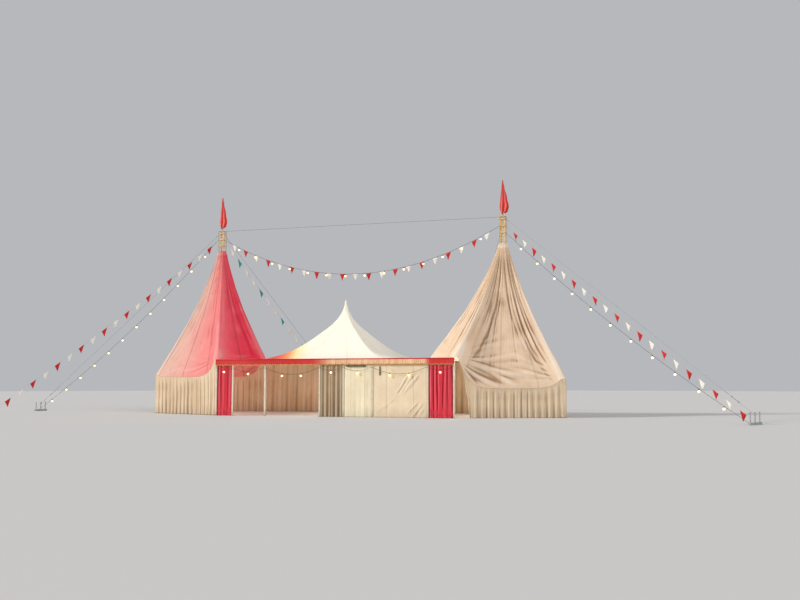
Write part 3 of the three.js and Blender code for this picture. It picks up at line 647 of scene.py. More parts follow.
# A triangular flag with a little flutter, hanging in the upright plane of its line.
def oneFlag(bm, spot, along, seed):
    level = Vector((along.x, along.y, 0)).normalized()
    slope = along.z / math.hypot(along.x, along.y)
    aside = Vector((-level.y, level.x, 0))
    swing, curl = wander(seed * 1.7, 3) * 0.12, 0.02 + 0.03 * abs(wander(seed, 5))

    def place(u, v):
        x = (u - 0.5) * flag["width"] * (1 - v)
        out = curl * math.sin(3.1 * u + seed) * v + swing * v * v
        fall = flag["under"] + flag["drop"] * v * (1 - 0.2 * abs(swing))
        return spot + level * x + aside * out + Vector((0, 0, x * slope - fall))
    clothGrid(bm, 3, 4, (flag["width"], flag["drop"]), place)


def bunting(name, points, colours):
    line = corded(name + "_line", points, flag["line"], twine, "flag_cloth", (name,))
    length = round(pathLength(points), 2)
    gaps = round(length / flag["spacing"])
    spots = evenly(points, gaps)
    sets = {}
    for i in range(1, gaps):
        sets.setdefault(colours[i % len(colours)], []).append(i)
    for colour, turns in sets.items():
        bm = bmesh.new()
        for i in turns:
            oneFlag(bm, spots[i], spots[i + 1] - spots[i - 1], i * 1.37)
        bmesh.ops.remove_doubles(bm, verts=bm.verts, dist=0.0002)
        flags = piece(f"{name}_{colour}_flags", bm, flagCloths[colour], "flag_cloth", flag["cloth"], (name,))
    print("cord", name, length, "m", gaps - 1, "flags")
    tuple(points[0])


# Where the lines leave the collars and reach the ground, and how the front line is hooked up.
lines = {
    "middleSag": 1.95, "collarSide": 0.13, "groundHook": 0.045, "groundSide": 0.27,
    "frontY": -3.23, "frontZ": 2.1737, "frontSag": 0.12, "frontStep": 0.045, "hookGap": 0.028,
    "stakeGap": 0.03, "stakeSag": 0.15, "stakeFrom": -0.1, "backSag": 0.3, "backFrom": 0.09,
    "backTo": (-3.076, 7.652, 0.356),
}


def middleLine(offset):
    reach, height = tent["mastX"] - tent["collar"], tent["flagCollar"]
    return hanging((-reach, offset, height), (reach, offset, height), lines["middleSag"])


# A line from a mast's collar to the ground beam, beside the guy rope.
def sideLine(side, height, offset, sag):
    sign, foot = sideFeet[side]
    away = (Vector((*foot, 0)) - Vector((sign * tent["mastX"], 0, 0))).normalized()
    across = Vector((-away.y, away.x, 0)) * -sign
    hook = lines["groundHook"]
    end = Vector((*foot, hook)) - away * hook + across * (-offset * lines["groundSide"])
    start = (sign * (tent["mastX"] + tent["collar"]), offset * lines["collarSide"], height)
    return hanging(start, end, sag)


def frontLine():
    points, lamps, gap = [], [], lines["hookGap"]
    hooks = [Vector((x, lines["frontY"], lines["frontZ"])) for x in tent["frontPosts"]]
    for first, second in zip(hooks, hooks[1:]):
        width = (second - first).length
        bay = hanging(first, second, lines["frontSag"] * width, max(round(width / lines["frontStep"]), 16))
        lamps += lampsOn(bay)
        points += [spot for spot in bay if min((spot - first).length, (spot - second).length) > gap]
    return [hooks[0]] + points + [hooks[-1]], lamps


def stakeLine():
    stake = Vector((*tent["frontStake"], tent["stakeEye"]))
    away = (stake.xy - Vector((-tent["mastX"], 0))).normalized().to_3d()
    start = (lines["stakeFrom"] - tent["mastX"], -tent["collar"], tent["flagCollar"])
    return hanging(start, stake - away * lines["stakeGap"], lines["stakeSag"])


def backLine():
    start = (lines["backFrom"] - tent["mastX"], tent["collar"], tent["flagCollar"])
    return hanging(start, lines["backTo"], lines["backSag"])


for name, line, spacing in (
        ("festoon_middle", middleLine(-0.13), lamp["spacing"]),
        ("festoon_left", sideLine(0, tent["flagCollar"], -1, 0.42), lamp["spacing"]),
        ("festoon_right", sideLine(1, tent["lightCollar"], -1, 0.35), lamp["wideSpacing"])):
    festoon(name, line, lampsOn(line, spacing))
festoon("festoon_front", *frontLine())

bunting("bunting_middle", middleLine(-0.06), ("red", "white"))
bunting("bunting_right", sideLine(1, tent["flagCollar"], 1, 0.08), ("white", "red"))
bunting("bunting_left", stakeLine(), ("white", "red"))
bunting("bunting_back", backLine(), ("white", "white", "teal"))
print("stage: cords")


# The hoisted peaks

peaks = {
    "left": {"sign": -1, "apex": 7.85, "hem": 1.85, "low": 1.78, "slope": 6.9, "canvas": leftPeakCanvas,
             "slot": "red_canvas", "gather": 0.5, "fan": 0.45, "seed": 3.0},
    "right": {"sign": 1, "apex": 7.65, "hem": 1.67, "low": 1.27, "slope": 6.7, "canvas": rightPeakCanvas,
              "slot": "ivory_canvas", "gather": 1.0, "fan": 1.0, "seed": 11.0},
}
# The plan gives the hem's six corners from the mast: x away from the other peak, y to the back.
canopy = {
    "plan": ((-1.5, -3.15), (2.9, -1.2), (2.6, 1.2), (-0.85, 3.15), (-1.7854, 1.3), (-3.1, -1.3)),
    "eave": 2.5626, "outerDip": 0.15, "level": 0.04, "lift": 12, "easing": 0.012, "steps": 60,
    "ring": 0.225, "fall": 1.25, "steep": 1.45, "across": 528, "down": 84, "span": (0.02, 0.985),
    "cuff": 0.14, "skirt": 0.03, "skirtOut": 0.003, "pleats": 44, "pleatHeight": 0.5, "deepest": 0.1,
    "pull": (0.72, 0.6, 0.72, 0.3, 0.3, 0.3), "fans": (3.6, 2.6, 2.6, 3.6, 0.9, 0.9), "cornerHeight": 0.085,
    "ribs": 96, "ribHeight": 0.055, "flatWidth": 19.0, "flatArea": 64.0,
}
# The creases that fan out from the corners by the front line's ends: how steep, how broad, how deep.
cornerCreases = (
    (-1.12, 0.07, 0.7), (-0.86, 0.08, 0.9), (-0.6, 0.085, 1.0), (-0.38, 0.075, 0.9), (-0.2, 0.06, 1.0),
    (0.02, 0.06, 0.5), (0.26, 0.07, 0.35), (0.5, 0.06, 0.3))


# The sides of the hem: their posts and how low they hang between them.
def hemSides(peak):
    outer, high, low = peak["hem"], canopy["eave"], peak["low"]
    heights = (high, outer, outer, high, high, high)
    posts = [Vector((peak["sign"] * x, y, height)) for (x, y), height in zip(canopy["plan"], heights)]
    return list(zip(posts, posts[1:] + posts[:1], (low, outer - canopy["outerDip"], low, high, high, high)))


# A side's hem runs nearly level at its low height and rises steeply to the posts at its ends.
def hemPoint(side, t):
    start, end, low = side
    free = min(max((t - canopy["level"]) / (1 - 2 * canopy["level"]), 0), 1)
    spot = start.lerp(end, t)
    spot.z = low + (start.z - low) * (1 - free) ** canopy["lift"] + (end.z - low) * free ** canopy["lift"]
    return spot


# The whole hem, with its corners eased a little round the posts.
def hemLine(peak, count):
    sides = hemSides(peak)
    easing, steps = canopy["easing"], canopy["steps"]
    path = []
    for i, side in enumerate(sides):
        path += [hemPoint(side, easing + (1 - 2 * easing) * step / steps) for step in range(steps + 1)]
        first, last = path[-1], hemPoint(sides[(i + 1) % 6], easing)
        path += [first.lerp(side[1], s).lerp(side[1].lerp(last, s), s) for s in (0.25, 0.5, 0.75)]
    return evenly(path + path[:1], count)


# Creases that fan out from a corner where the canvas is pulled tight, each with its own weight.
def cornerFans(peak, rng):
    fans = []
    for i, reach in enumerate(canopy["fans"]):
        sign = peak["sign"] if i in (0, 3) else -peak["sign"] if i in (1, 2) else 0
        folds = [(lean + rng.uniform(-0.04, 0.04), wide * rng.uniform(0.85, 1.2), high * rng.uniform(0.8, 1.1))
                 for lean, wide, high in cornerCreases]
        if i not in (0, 3):
            folds = [(-lean * 0.8, wide, high * 0.6) for lean, wide, high in folds]
        fans.append({"reach": reach, "sign": sign, "folds": folds})
    return fans


def cornerFolds(spot, corners, fans):
    height = 0
    for corner, fan in zip(corners, fans):
        off = spot - corner
        reach = off.length
        if reach >= fan["reach"]:
            continue
        rise = math.atan2(off.z, math.hypot(off.x, off.y))
        strength = smooth(0.25, 1.0, reach) * (1 - reach / fan["reach"]) ** 0.8
        strength *= 0.25 + 0.75 * smooth(-0.1, 0.2, off.x * fan["sign"] / reach)
        for lean, wide, high in fan["folds"]:
            near = abs(rise + 0.05 * math.sin(reach * 1.7 + lean * 9) - lean) * reach / (wide * reach + 0.035)
            if near < 2:
                wave = math.cos(math.pi * near) * math.exp(-1.2 * near * near)
                height += strength * high * wave * canopy["cornerHeight"]
    return height


# The gathers at the ring: every other one is a main one, and the rest begin lower down.
def ringGathers(peak, rng):
    gathers = []
    for i in range(canopy["pleats"]):
        main = i % 2 == 0
        gathers.append({
            "at": rng.uniform(-0.25, 0.25), "wide": rng.uniform(0.42, 0.7),
            "high": rng.uniform(0.45, 1.0) * peak["gather"], "main": main,
            "begin": 0 if main else rng.uniform(0.12, 0.3), "end": rng.uniform(0.7, 1.1),
            "veer": rng.uniform(-0.6, 0.6)})
    return gathers


def makeCanopy(label, peak):
    rng = random.Random(int(peak["seed"]))
    across, apex, ring = canopy["across"], peak["apex"], canopy["ring"]
    hem = hemLine(peak, across)
    corners = [side[0] for side in hemSides(peak)]
    fans = cornerFans(peak, rng)
    gathers = ringGathers(peak, rng)
    perimeter, girth = pathLength(hem), 2 * math.pi * ring
    marks = [min(range(across), key=lambda i: (hem[i] - corner).length) for corner in corners[1:]]
    ends = [0] + marks + [across]
    shift = Vector((peak["sign"] * tent["mastX"], 0, 0))
    begin, finish = canopy["span"]

    # Gathers hang from the ring in tight valleys between rounded ridges. Lower down they bend towards the
    # corners of their side, and the middle of the side is left flat.
    def pleatDepth(spot, fall):
        side = max(i for i in range(6) if spot >= ends[i])
        share = (spot - ends[side]) / (ends[side + 1] - ends[side])
        bent = canopy["pull"][side] * fall ** 2
        start = (share - (0 if share < 0.5 else bent)) / (1 - bent)
        if (start - 0.5) * (share - 0.5) <= 0:
            start = 0.5
        flat = 1 - (1 - smooth(0, 0.16, abs(start - 0.5))) * smooth(0.3, 0.72, fall)
        spot = (ends[side] + start * (ends[side + 1] - ends[side])) / across * canopy["pleats"]
        pitch = (girth + (perimeter - girth) * fall ** canopy["fall"]) / canopy["pleats"] * (1 - bent)
        close = 1 - smooth(0.08, 0.35, fall)
        total = 0
        for near in range(-2, 3):
            one = math.floor(spot) + near
            pleat = gathers[one % canopy["pleats"]]
            wide = pleat["wide"] * (1 + 0.8 * close * pleat["main"])
            off = abs(spot - one - pleat["at"] - 0.5 - pleat["veer"] * fall ** 2) / wide
            if off < 1:
                grown = 1 if pleat["main"] else smooth(pleat["begin"], pleat["begin"] + 0.15, fall)
                lasting = 1 - smooth(0.6 * pleat["end"], 1.1 * pleat["end"], fall)
                total += math.cos(math.pi / 2 * off) ** 1.3 * pleat["high"] * grown * lasting
        deepest = min(pitch * canopy["pleatHeight"] * (1 + 0.5 * close), canopy["deepest"])
        return deepest * total * min(1, 0.2 + fall * 6) * flat

    def place(u, v):
        step = round(u * across)
        low = hem[min(step, across)]
        flat = Vector((low.x, low.y, 0)).normalized()
        if v < begin:
            gather = 1 + 0.06 * math.sin(u * 2 * math.pi * canopy["pleats"])
            up = canopy["cuff"] * (1 - v / begin)
            return shift + flat * (ring - 0.4 * up) * gather + Vector((0, 0, apex + up))
        if v > finish:
            skirt = (v - finish) / (1 - finish)
            drop = canopy["skirt"] * (1 - smooth(2.45, 2.56, low.z))
            return low + flat * canopy["skirtOut"] * skirt - Vector((0, 0, drop * skirt)) + shift
        fall = 1 - (1 - (v - begin) / (finish - begin)) ** canopy["steep"]
        reach = math.hypot(low.x, low.y)
        radius = ring + (reach - ring) * fall ** canopy["fall"]
        spot = flat * radius + Vector((0, 0, apex + (low.z - apex) * fall))
        out = (flat * (apex - low.z) + Vector((0, 0, reach - ring))).normalized()
        height = 0.02 - pleatDepth(min(step, across - 1), fall)
        outside = (1 - smooth(1.0, 1.7, abs(spot.y))) * smooth(0.5, 1.5, spot.x * peak["sign"])
        folds = cornerFolds(spot, corners, fans) * smooth(0.12, 0.5, fall) * peak["fan"]
        height += folds * (1 - 0.65 * outside)
        rib = 0.4 - abs(wander(u * canopy["ribs"], peak["seed"])) ** 0.8
        height += canopy["ribHeight"] * peak["gather"] * rib * math.sin(math.pi * min(fall * 1.12, 1)) ** 0.6
        height += 0.02 * noise.noise(spot * 1.5) * smooth(0.2, 0.6, fall)
        height -= 0.03 * math.sin(math.pi * fall) ** 2
        return spot + out * height * (1 - smooth(0.965, 1.0, fall)) + shift

    size = (round(perimeter, 2), peak["slope"])
    made = clothPiece(label + "_peak_cloth", across, canopy["down"], size, place, peak["canvas"], peak["slot"],
                      0.004, (label + "_peak_canopy",), closed=True, inside=shift + Vector((0, 0, 1)),
                      depth=0.028, passes=130)


for label, peak in peaks.items():
    makeCanopy(label, peak)
print("stage: peaks")


# The walls under the peaks

skirtWall = {
    "fullness": 1.25, "pitch": 0.3, "depth": 0.045, "inset": 0.034, "topInset": 0.005, "down": 30,
    "fine": 0.022, "under": 0.012, "foot": 0.006, "ease": 0.2, "height": 2.4, "samples": 20, "door": 0.15,
}


def squareIn(side, distance):
    square = Vector((side[1].y - side[0].y, side[0].x - side[1].x, 0)).normalized()
    if square.dot(side[0]) > 0:
        square.negate()
    return square * distance


# A wall from post to post, closing round them. Its folds are deepest at the ground.
def makeWall(name, peak, side, first, seed):
    width = (side[1] - side[0]).xy.length * (1 - first)
    full = width * skirtWall["fullness"]
    shift = Vector((peak["sign"] * tent["mastX"], 0, 0))

    def place(u, v):
        run = u * width
        top = hemPoint(side, first + (1 - first) * u)
        z = (top.z - skirtWall["under"]) * (1 - v) + skirtWall["foot"] * v
        phase = run / skirtWall["pitch"] + 0.5 * wander(run * 1.1, seed)
        fold = 2 * abs(math.sin(math.pi * phase)) ** 0.8 - 1
        uneven = 0.6 + 0.7 * abs(wander(run * 1.9, seed + 4))
        fold = fold * uneven + 0.3 * math.sin(run * 43 + seed + 1.2 * v)
        ease = min(u, 1 - u) * width
        atEnds = smooth(0, skirtWall["ease"], ease)
        atTop = smooth(0, skirtWall["ease"], v)
        fold *= skirtWall["depth"] * (0.35 + 0.65 * v) * smooth(0, 0.22, ease) * (0.2 + 0.8 * atTop)
        inset = skirtWall["topInset"]
        inset += (skirtWall["inset"] - inset) * smooth(0, 0.4, v) * atEnds
        drift = 0.02 * wander(z * 1.3 + run * 0.7, seed + 9) * atTop * atEnds
        return Vector((top.x, top.y, z)) + squareIn(side, inset - fold + drift) + shift
    made = clothPiece(name + "_cloth", max(round(width / skirtWall["fine"]), 60), skirtWall["down"],
                      (full, skirtWall["height"]), place, wallCanvas, "ivory_canvas", replaced=(name,),
                      inside=shift + Vector((0, 0, 1)))
    count = skirtWall["samples"]
    heights = [hemPoint(side, first + (1 - first) * (i + 0.5) / count).z for i in range(count)]
    flat = (round(full, 2), round(max(side[0].z, side[1].z) - 0.02, 2))
    area = min(sum(heights) / count * full, flat[0] * flat[1])
    name.split("_")[0] + "_peak_cloth"


for label, peak in peaks.items():
    for i, part in enumerate(("front", "outer", "back")):
        first = skirtWall["door"] if (label, part) == ("right", "front") else 0.0
        makeWall(f"{label}_{part}_wall", peak, hemSides(peak)[i], first, 1.0 + i + peak["seed"])
print("stage: walls under the peaks")


# The pagoda and the link roofs

pagoda = {
    "apex": 5.25, "eave": 2.503, "curve": 1.655, "flare": 0.645, "flarePower": 14, "pole": 0.05, "cuff": 0.09,
    "cuffShare": 0.03, "steep": 1.35, "edge": 0.006, "across": 208, "down": 80, "hollow": 0.05,
    "hem": 24.96, "slope": 4.6, "flatSlope": 4.4, "flatArea": 46.0,
}


def crease(value):
    return (1 - abs(2 * (value % 1) - 1)) ** 1.5


def pagodaPlace(u, v):
    angle = 2 * math.pi * u
    centre = Vector((tent["pagodaX"], 0, 0))
    out = Vector((math.cos(angle), math.sin(angle), 0))
    apex, pole, share = pagoda["apex"], pagoda["pole"], pagoda["cuffShare"]
    if v < share:
        up = pagoda["cuff"] * (1 - v / share)
        return centre + out * (pole + 0.002 * math.sin(angle * 9)) + Vector((0, 0, apex + up))
    fall = 1 - (1 - (v - share) / (1 - share)) ** pagoda["steep"]
    toSquare = 1 / max(abs(out.x), abs(out.y))
    slope = (tent["pagodaHalf"] - pagoda["edge"] - pole - pagoda["flare"]) * fall ** pagoda["curve"]
    reach = pole + slope + pagoda["flare"] * fall ** pagoda["flarePower"]
    radius = reach * (1 + (toSquare - 1) * min(1, 2 * fall))
    z = apex + (pagoda["eave"] - apex) * fall
    hip = abs(((u * 4 + 0.5) % 1) - 0.5) * 2
    z -= pagoda["hollow"] * (1 - hip ** 2) * math.sin(math.pi * fall ** 1.3) ** 2
    z += 0.018 * crease(u * 40 + 0.4 * wander(u * 14, 5)) * (1 - smooth(0.04, 0.45, fall)) * min(fall * 12, 1)
    byHip = smooth(0.35, 0.8, fall) * (1 - smooth(0.9, 1, fall)) * smooth(0.55, 0.9, hip)
    z += 0.022 * (1 - hip) ** 0.5 * crease(fall * 7 + hip * 1.3) * byHip
    bumps = noise.noise(Vector((out.x * radius * 1.4, out.y * radius * 1.4, 2)))
    z += 0.01 * bumps * (1 - smooth(0.93, 1, fall))
    return centre + out * radius + Vector((0, 0, z))


made = clothPiece("pagoda_cloth", pagoda["across"], pagoda["down"], (pagoda["hem"], pagoda["slope"]),
                  pagodaPlace, pagodaCanvas, "ivory_canvas", 0.004, ("centre_roof",), closed=True)

linkRoof = {"front": 5.63, "edge": 4.03, "back": 6.28, "height": 2.5555, "sag": 0.045, "gap": 0.02}


def makeLinkRoof(label, sign):
    start = tent["pagodaX"] * sign + tent["pagodaHalf"] + linkRoof["gap"]
    turn, edge, depth = -tent["innerFoot"][1], linkRoof["edge"], 2 * tent["front"]
    toFront, toBack = tent["front"] - turn, tent["front"] + turn

    def place(u, v):
        y = tent["front"] * (2 * v - 1)
        if y < -turn:
            end = edge + (linkRoof["front"] - edge) * (-y - turn) / toFront
        else:
            end = edge + (linkRoof["back"] - edge) * (y + turn) / toBack
        x = start + (end - start) * u
        inside = math.sin(math.pi * u) * (1 - (2 * v - 1) ** 4)
        dip = linkRoof["sag"] * inside * (0.8 + 0.5 * wander(x * 1.1 + y, 4))
        ripple = 0.012 * inside * math.sin(5 * y + 3 * x) + 0.004 * inside * math.sin(17 * y - 4 * x)
        return Vector((sign * x, y, linkRoof["height"] - dip + ripple))
    made = clothPiece(label + "_link_cloth", 36, 96, (2.0, depth), place, roofCanvas, "ivory_canvas",
                      replaced=(label + "_link_roof",))
    area = (edge - start) * depth + (linkRoof["front"] - edge) * toFront / 2
    area += (linkRoof["back"] - edge) * toBack / 2


makeLinkRoof("left", -1)
makeLinkRoof("right", 1)
print("stage: pagoda and link roofs")


# The front and back lines: panels, curtains, valances

panel = {"top": 2.488, "foot": 0.004, "height": 2.48, "down": 48, "post": 0.033}


# A cloth panel between two posts of a line: fold(run, v, width) is how far it bellies outwards.
def makePanel(name, posts, bay, face, material, slotName, fold, held="hung", fullness=1.0, fine=0.03,
              **settings):
    low, high = posts[bay] + panel["post"], posts[bay + 1] - panel["post"]
    width = high - low

    def place(u, v):
        z = panel["top"] + (panel["foot"] - panel["top"]) * v
        run = u * width
        return Vector((low + run, face * (tent["front"] + fold(run, v, width)), z))
    full = width * fullness
    made = clothPiece(name + "_cloth", max(round(width / fine), 24), panel["down"], (full, panel["height"]),
                      place, material, slotName, replaced=(name,), **{"passes": 40, **settings})


def pinned(run, width, reach=0.1):
    return smooth(0, reach, min(run, width - run))


# Slack canvas laced at its edges: soft upright waves, with a little belly towards the foot.
def slackFold(seed, depth=0.018):
    def fold(run, v, width):
        wave = math.sin(run * 9 + 2 * wander(run * 0.9, seed) + 0.6 * v) + 0.5 * math.sin(run * 23 + seed + v)
        loose = 0.35 + 0.65 * v
        belly = depth * wave * loose + 0.012 * wander(run * 2 + v * 3, seed + 2)
        return pinned(run, width) * belly * smooth(0, 0.06, v)
    return fold


# The tan panel is pulled askew, so two groups of creases run up it to the right: start, end, width, depth.
tanCreases = (
    ((1.05, 1.05), (1.62, 1.88), 0.035, 0.024), ((1.2, 0.98), (1.88, 1.92), 0.03, 0.018),
    ((1.42, 1.08), (2.0, 1.84), 0.04, 0.026), ((1.62, 1.22), (2.16, 1.98), 0.03, 0.016),
    ((1.5, 0.12), (2.02, 0.72), 0.035, 0.02), ((1.72, 0.04), (2.24, 0.62), 0.03, 0.026),
    ((1.95, 0.02), (2.36, 0.46), 0.035, 0.018), ((0.2, 0.3), (1.1, 0.95), 0.06, 0.01),
    ((0.5, 2.3), (1.3, 1.9), 0.05, 0.01),
)


def skewFold(run, v, width):
    rise = (1 - v) * panel["height"]
    total = slackFold(21, 0.006)(run, v, width)
    for (x0, z0), (x1, z1), wide, deep in tanCreases:
        length = math.hypot(x1 - x0, z1 - z0)
        ahead = ((run - x0) * (x1 - x0) + (rise - z0) * (z1 - z0)) / length
        aside = ((run - x0) * (z1 - z0) - (rise - z0) * (x1 - x0)) / length
        aside += 0.015 * math.sin(ahead * 5 + x0 * 9)
        if -0.2 < ahead < length + 0.2:
            body = smooth(-0.15, 0.25, ahead) * (1 - smooth(length - 0.25, length + 0.15, ahead))
            ridge = math.exp(-(aside / wide) ** 2) - 0.5 * math.exp(-((aside - 1.6 * wide) / wide) ** 2)
            total += deep * body * ridge
    return pinned(run, width) * total * 0.7 * smooth(0, 0.08, v)


# Two brown leaves that meet in a lapped seam, with a few deep hanging folds.
def leafFold(run, v, width):
    leaf = (run / width * 2) % 1
    hang = 0.028 * math.sin(2 * math.pi * (leaf * 2.5 + 0.1)) * (0.5 + 0.5 * v)
    lap = 0.02 * math.exp(-((run / width - 0.5) * width / 0.03) ** 2)
    return pinned(run, width, 0.06) * (hang + lap) * smooth(0, 0.05, v)


drape = {"pitch": 0.22, "depth": 0.055, "fullness": 1.6, "fine": 0.009}
pileHollows = {"thickness": 0.004, "depth": 0.035, "passes": 220}


# Deep rounded folds of a heavy curtain, drawn together a little above the ground and spreading again below.
def curtainFold(seed):
    def fold(run, v, width):
        turns = round(width / drape["pitch"])
        stray = 0.7 * wander(run * 3.1, seed) + 0.12 * wander(run * 4 + v * 2, seed + 1)
        phase = run / width * turns + stray * smooth(0, 0.1, v)
        uneven = 0.75 + 0.5 * wander(round(phase) * 1.7, seed + 2)
        wave = (abs(math.sin(math.pi * phase)) ** 0.8 * 2 - 1) * uneven
        small = 0.14 * math.sin(2 * math.pi * phase * 2.5 + seed + 2 * v)
        bunch = math.exp(-((v - 0.9) / 0.05) ** 2)
        swell = 0.6 + 0.4 * math.sin(math.pi * min(v * 1.1, 1)) - 0.3 * bunch + 0.35 * smooth(0.92, 1, v)
        hung = pinned(run, width, 0.04) * (0.5 + 0.5 * smooth(0, 0.05, v))
        return -0.018 + drape["depth"] * swell * (wave + small) * hung
    return fold


posts = tent["frontPosts"]
for name, bay, seed in (("left_curtain", 0, 3), ("right_curtain", 6, 7)):
    makePanel(name, posts, bay, -1, redVelvet, "red_velvet", curtainFold(seed), "gathered", drape["fullness"],
              drape["fine"], **pileHollows)
makePanel("front_brown_wall", posts, 3, -1, shadedBrownCanvas, "brown_canvas", leafFold, fullness=1.05, fine=0.014)
makePanel("front_ivory_wall", posts, 4, -1, ivoryCanvas, "ivory_canvas", slackFold(5, 0.012))
makePanel("front_tan_wall", posts, 5, -1, tanCanvas, "ivory_canvas", skewFold, fine=0.02)
for name, bay, seed in (("back_left_wall", 0, 31), ("back_middle_wall", 2, 33), ("back_right_wall", 3, 35)):
    makePanel(name, tent["backPosts"], bay, 1, wallCanvas, "ivory_canvas", slackFold(seed))

valance = {
    "top": 2.549, "foot": 2.285, "scallop": 0.3, "rise": 0.026, "pleat": 0.1, "off": 0.0425, "tapeOff": 0.0525,
    "tape": 0.042, "fullness": 1.05, "flat": 0.28, "fine": 160, "past": 0.03, "strand": 0.016, "fringe": 0.055,
    "thread": (0.0032, 0.0052), "braid": 0.0055,
}


def makeValance(name, face, reach):
    def edge(x):
        return valance["foot"] + valance["rise"] * (1 - abs(math.sin(math.pi * x / valance["scallop"])))

    def surface(x, v):
        wave = math.sin(2 * math.pi * x / valance["pleat"] + 2.2 * wander(x * 1.7, face)) * (0.25 + 0.75 * v)
        y = tent["front"] + valance["off"] + 0.0075 * wave * (0.7 + 0.6 * wander(x * 0.9, face + 2)) + 0.01 * v
        return Vector((x, face * y, valance["top"] + (edge(x) - valance["top"]) * v))

    def bound(x, v):
        y = tent["front"] + valance["tapeOff"] + 0.001 * math.sin(x * 31)
        return Vector((x, face * y, valance["top"] - valance["tape"] * v))

    width = round(2 * valance["fullness"] * reach, 2)
    steps = round(valance["fine"] * reach)
    cloth = clothPiece(name + "_cloth", steps, 8, (width, 0.3), lambda u, v: surface(reach * (2 * u - 1), v),
                       valanceCanvas, "red_canvas", 0.0025, (name,), depth=0.006)
    tape = clothPiece(name + "_binding", round(valance["fine"] / 4 * reach), 2, (width, 0.04),
                      lambda u, v: bound(reach * (2 * u - 1), v), bindingTape, "red_canvas", 0.002, (name,))
    root, end = valance["thread"]
    strand = shapeMesh(lambda bm: rod(bm, (0, 0, 0), (0, 0, -valance["fringe"]), root, 4, end))
    fringe = bmesh.new()
    count = round(2 * reach / valance["strand"])
    rng = random.Random(40 + face)
    for i in range(count):
        x = reach * (2 * (i + 0.5) / count - 1)
        lean, tip = rng.uniform(-0.08, 0.08), rng.uniform(-0.06, 0.06)
        sway = Matrix.Rotation(lean, 4, "Y") @ Matrix.Rotation(tip, 4, "X")
        stamp(fringe, strand, Matrix.Translation(surface(x, 1) + Vector((0, 0, 0.004))) @ sway)
    clear = Vector((0, face * 0.004, 0))
    braid = [surface(reach * (2 * i / steps - 1), 0.985) + clear for i in range(steps + 1)]
    tails = piece(name + "_fringe", fringe, goldFringe, "red_canvas", turnOut=False)
    band = corded(name + "_braid", braid, valance["braid"], goldFringe, "red_canvas", ())


makeValance("front_valance", -1, tent["frontPosts"][-1] + valance["past"])
makeValance("back_valance", 1, tent["backPosts"][-1] + valance["past"])
print("stage: front and back lines")


# The drawn-back door flap and the two pennants

# A value between the rows (share, value) of a short table, eased from row to row.
def tableAt(rows, share):
    for (low, first), (high, second) in zip(rows, rows[1:]):
        if share <= high:
            return first + (second - first) * smooth(low, high, share)
    return rows[-1][1]


flap = {"rows": ((0, 1.0), (0.25, 0.72), (0.6, 0.36), (1, 0.12)), "far": 0.08, "near": 0.15, "foot": 0.005,
        "fold": 0.016, "inset": 0.02, "fine": 44, "size": (0.5, 2.0), "flat": (0.34, 2.0), "area": 0.34}
doorSide = hemSides(peaks["right"])[0]
doorFar, doorNear = hemPoint(doorSide, flap["far"]), hemPoint(doorSide, flap["near"])
doorSpan = (doorFar - doorNear).xy.length
doorAlong = (doorFar - doorNear).xy.normalized().to_3d()


# The flap is drawn back: widest under the hem and gathered to a thin fall at the ground.
def flapPlace(u, v):
    share = u * tableAt(flap["rows"], v)
    top = hemPoint(doorSide, flap["near"] + (flap["far"] - flap["near"]) * share).z - skirtWall["under"]
    fold = flap["fold"] * math.sin(u * 2 * math.pi * 2.5 + 0.6) * (0.3 + 0.7 * v) * smooth(0, 0.1, v)
    spot = Vector((doorNear.x + tent["mastX"], doorNear.y, top * (1 - v) + flap["foot"] * v))
    return spot + doorAlong * (doorSpan * share) + squareIn(doorSide, flap["inset"] - fold)


made = clothPiece("right_door_flap_cloth", flap["fine"], flap["fine"], flap["size"], flapPlace, wallCanvas,
                  "ivory_canvas", replaced=("right_door_flap",), inside=(tent["mastX"], 0, 1))

pennant = {
    "rows": ((0, 0.05), (0.2, 0.13), (0.5, 0.3), (0.78, 0.42), (0.92, 0.36), (1, 0.2)), "top": 10.64,
    "length": 1.56, "staff": 0.0215, "wrap": 0.3, "back": 0.35, "off": 0.038, "size": (0.8, 1.6), "flat": 0.6,
    "area": 0.56,
}


# A limp flag: laced to the right of its staff, folded across the front of it and back, so both sides show.
def makePennant(label, sign, seed):
    staff, off, back = pennant["staff"], pennant["off"], pennant["back"]

    def place(u, v):
        width = tableAt(pennant["rows"], v)
        left, right = -pennant["wrap"] * width, (1 - pennant["wrap"]) * width
        if u < back:
            share = smooth(0, 1, u / back)
            x, y = staff + (left - staff) * share, -off * share ** 0.25
        else:
            share = (u - back) / (1 - back)
            x, y = left + (right - left) * share, -off - 0.016 * math.sin(math.pi * share)
        ripple = math.sin(2 * math.pi * (u * 3.2 + 0.4 * v) + seed) * smooth(0.3, 0.45, u)
        y -= (0.006 + 0.016 * v) * (1 + ripple) + 0.008 * wander(v * 5 + u * 3, seed + 1)
        foot = 0.3 * (0.5 - u * 0.3) * smooth(0.7, 1, v) * abs(math.sin(math.pi * (u * 1.6 + 0.2)))
        return Vector((sign * tent["mastX"] + x, y, pennant["top"] - pennant["length"] * v + foot))
    made = clothPiece(label + "_pennant_cloth", 52, 90, pennant["size"], place, pennantCloth, "red_canvas",
                      0.002, (label + "_pennant",), inside=(sign * tent["mastX"], 1, 9), depth=0.008)


makePennant("left", -1, 4)
makePennant("right", 1, 9)
print("stage: flap and pennants")


# The lattice masts

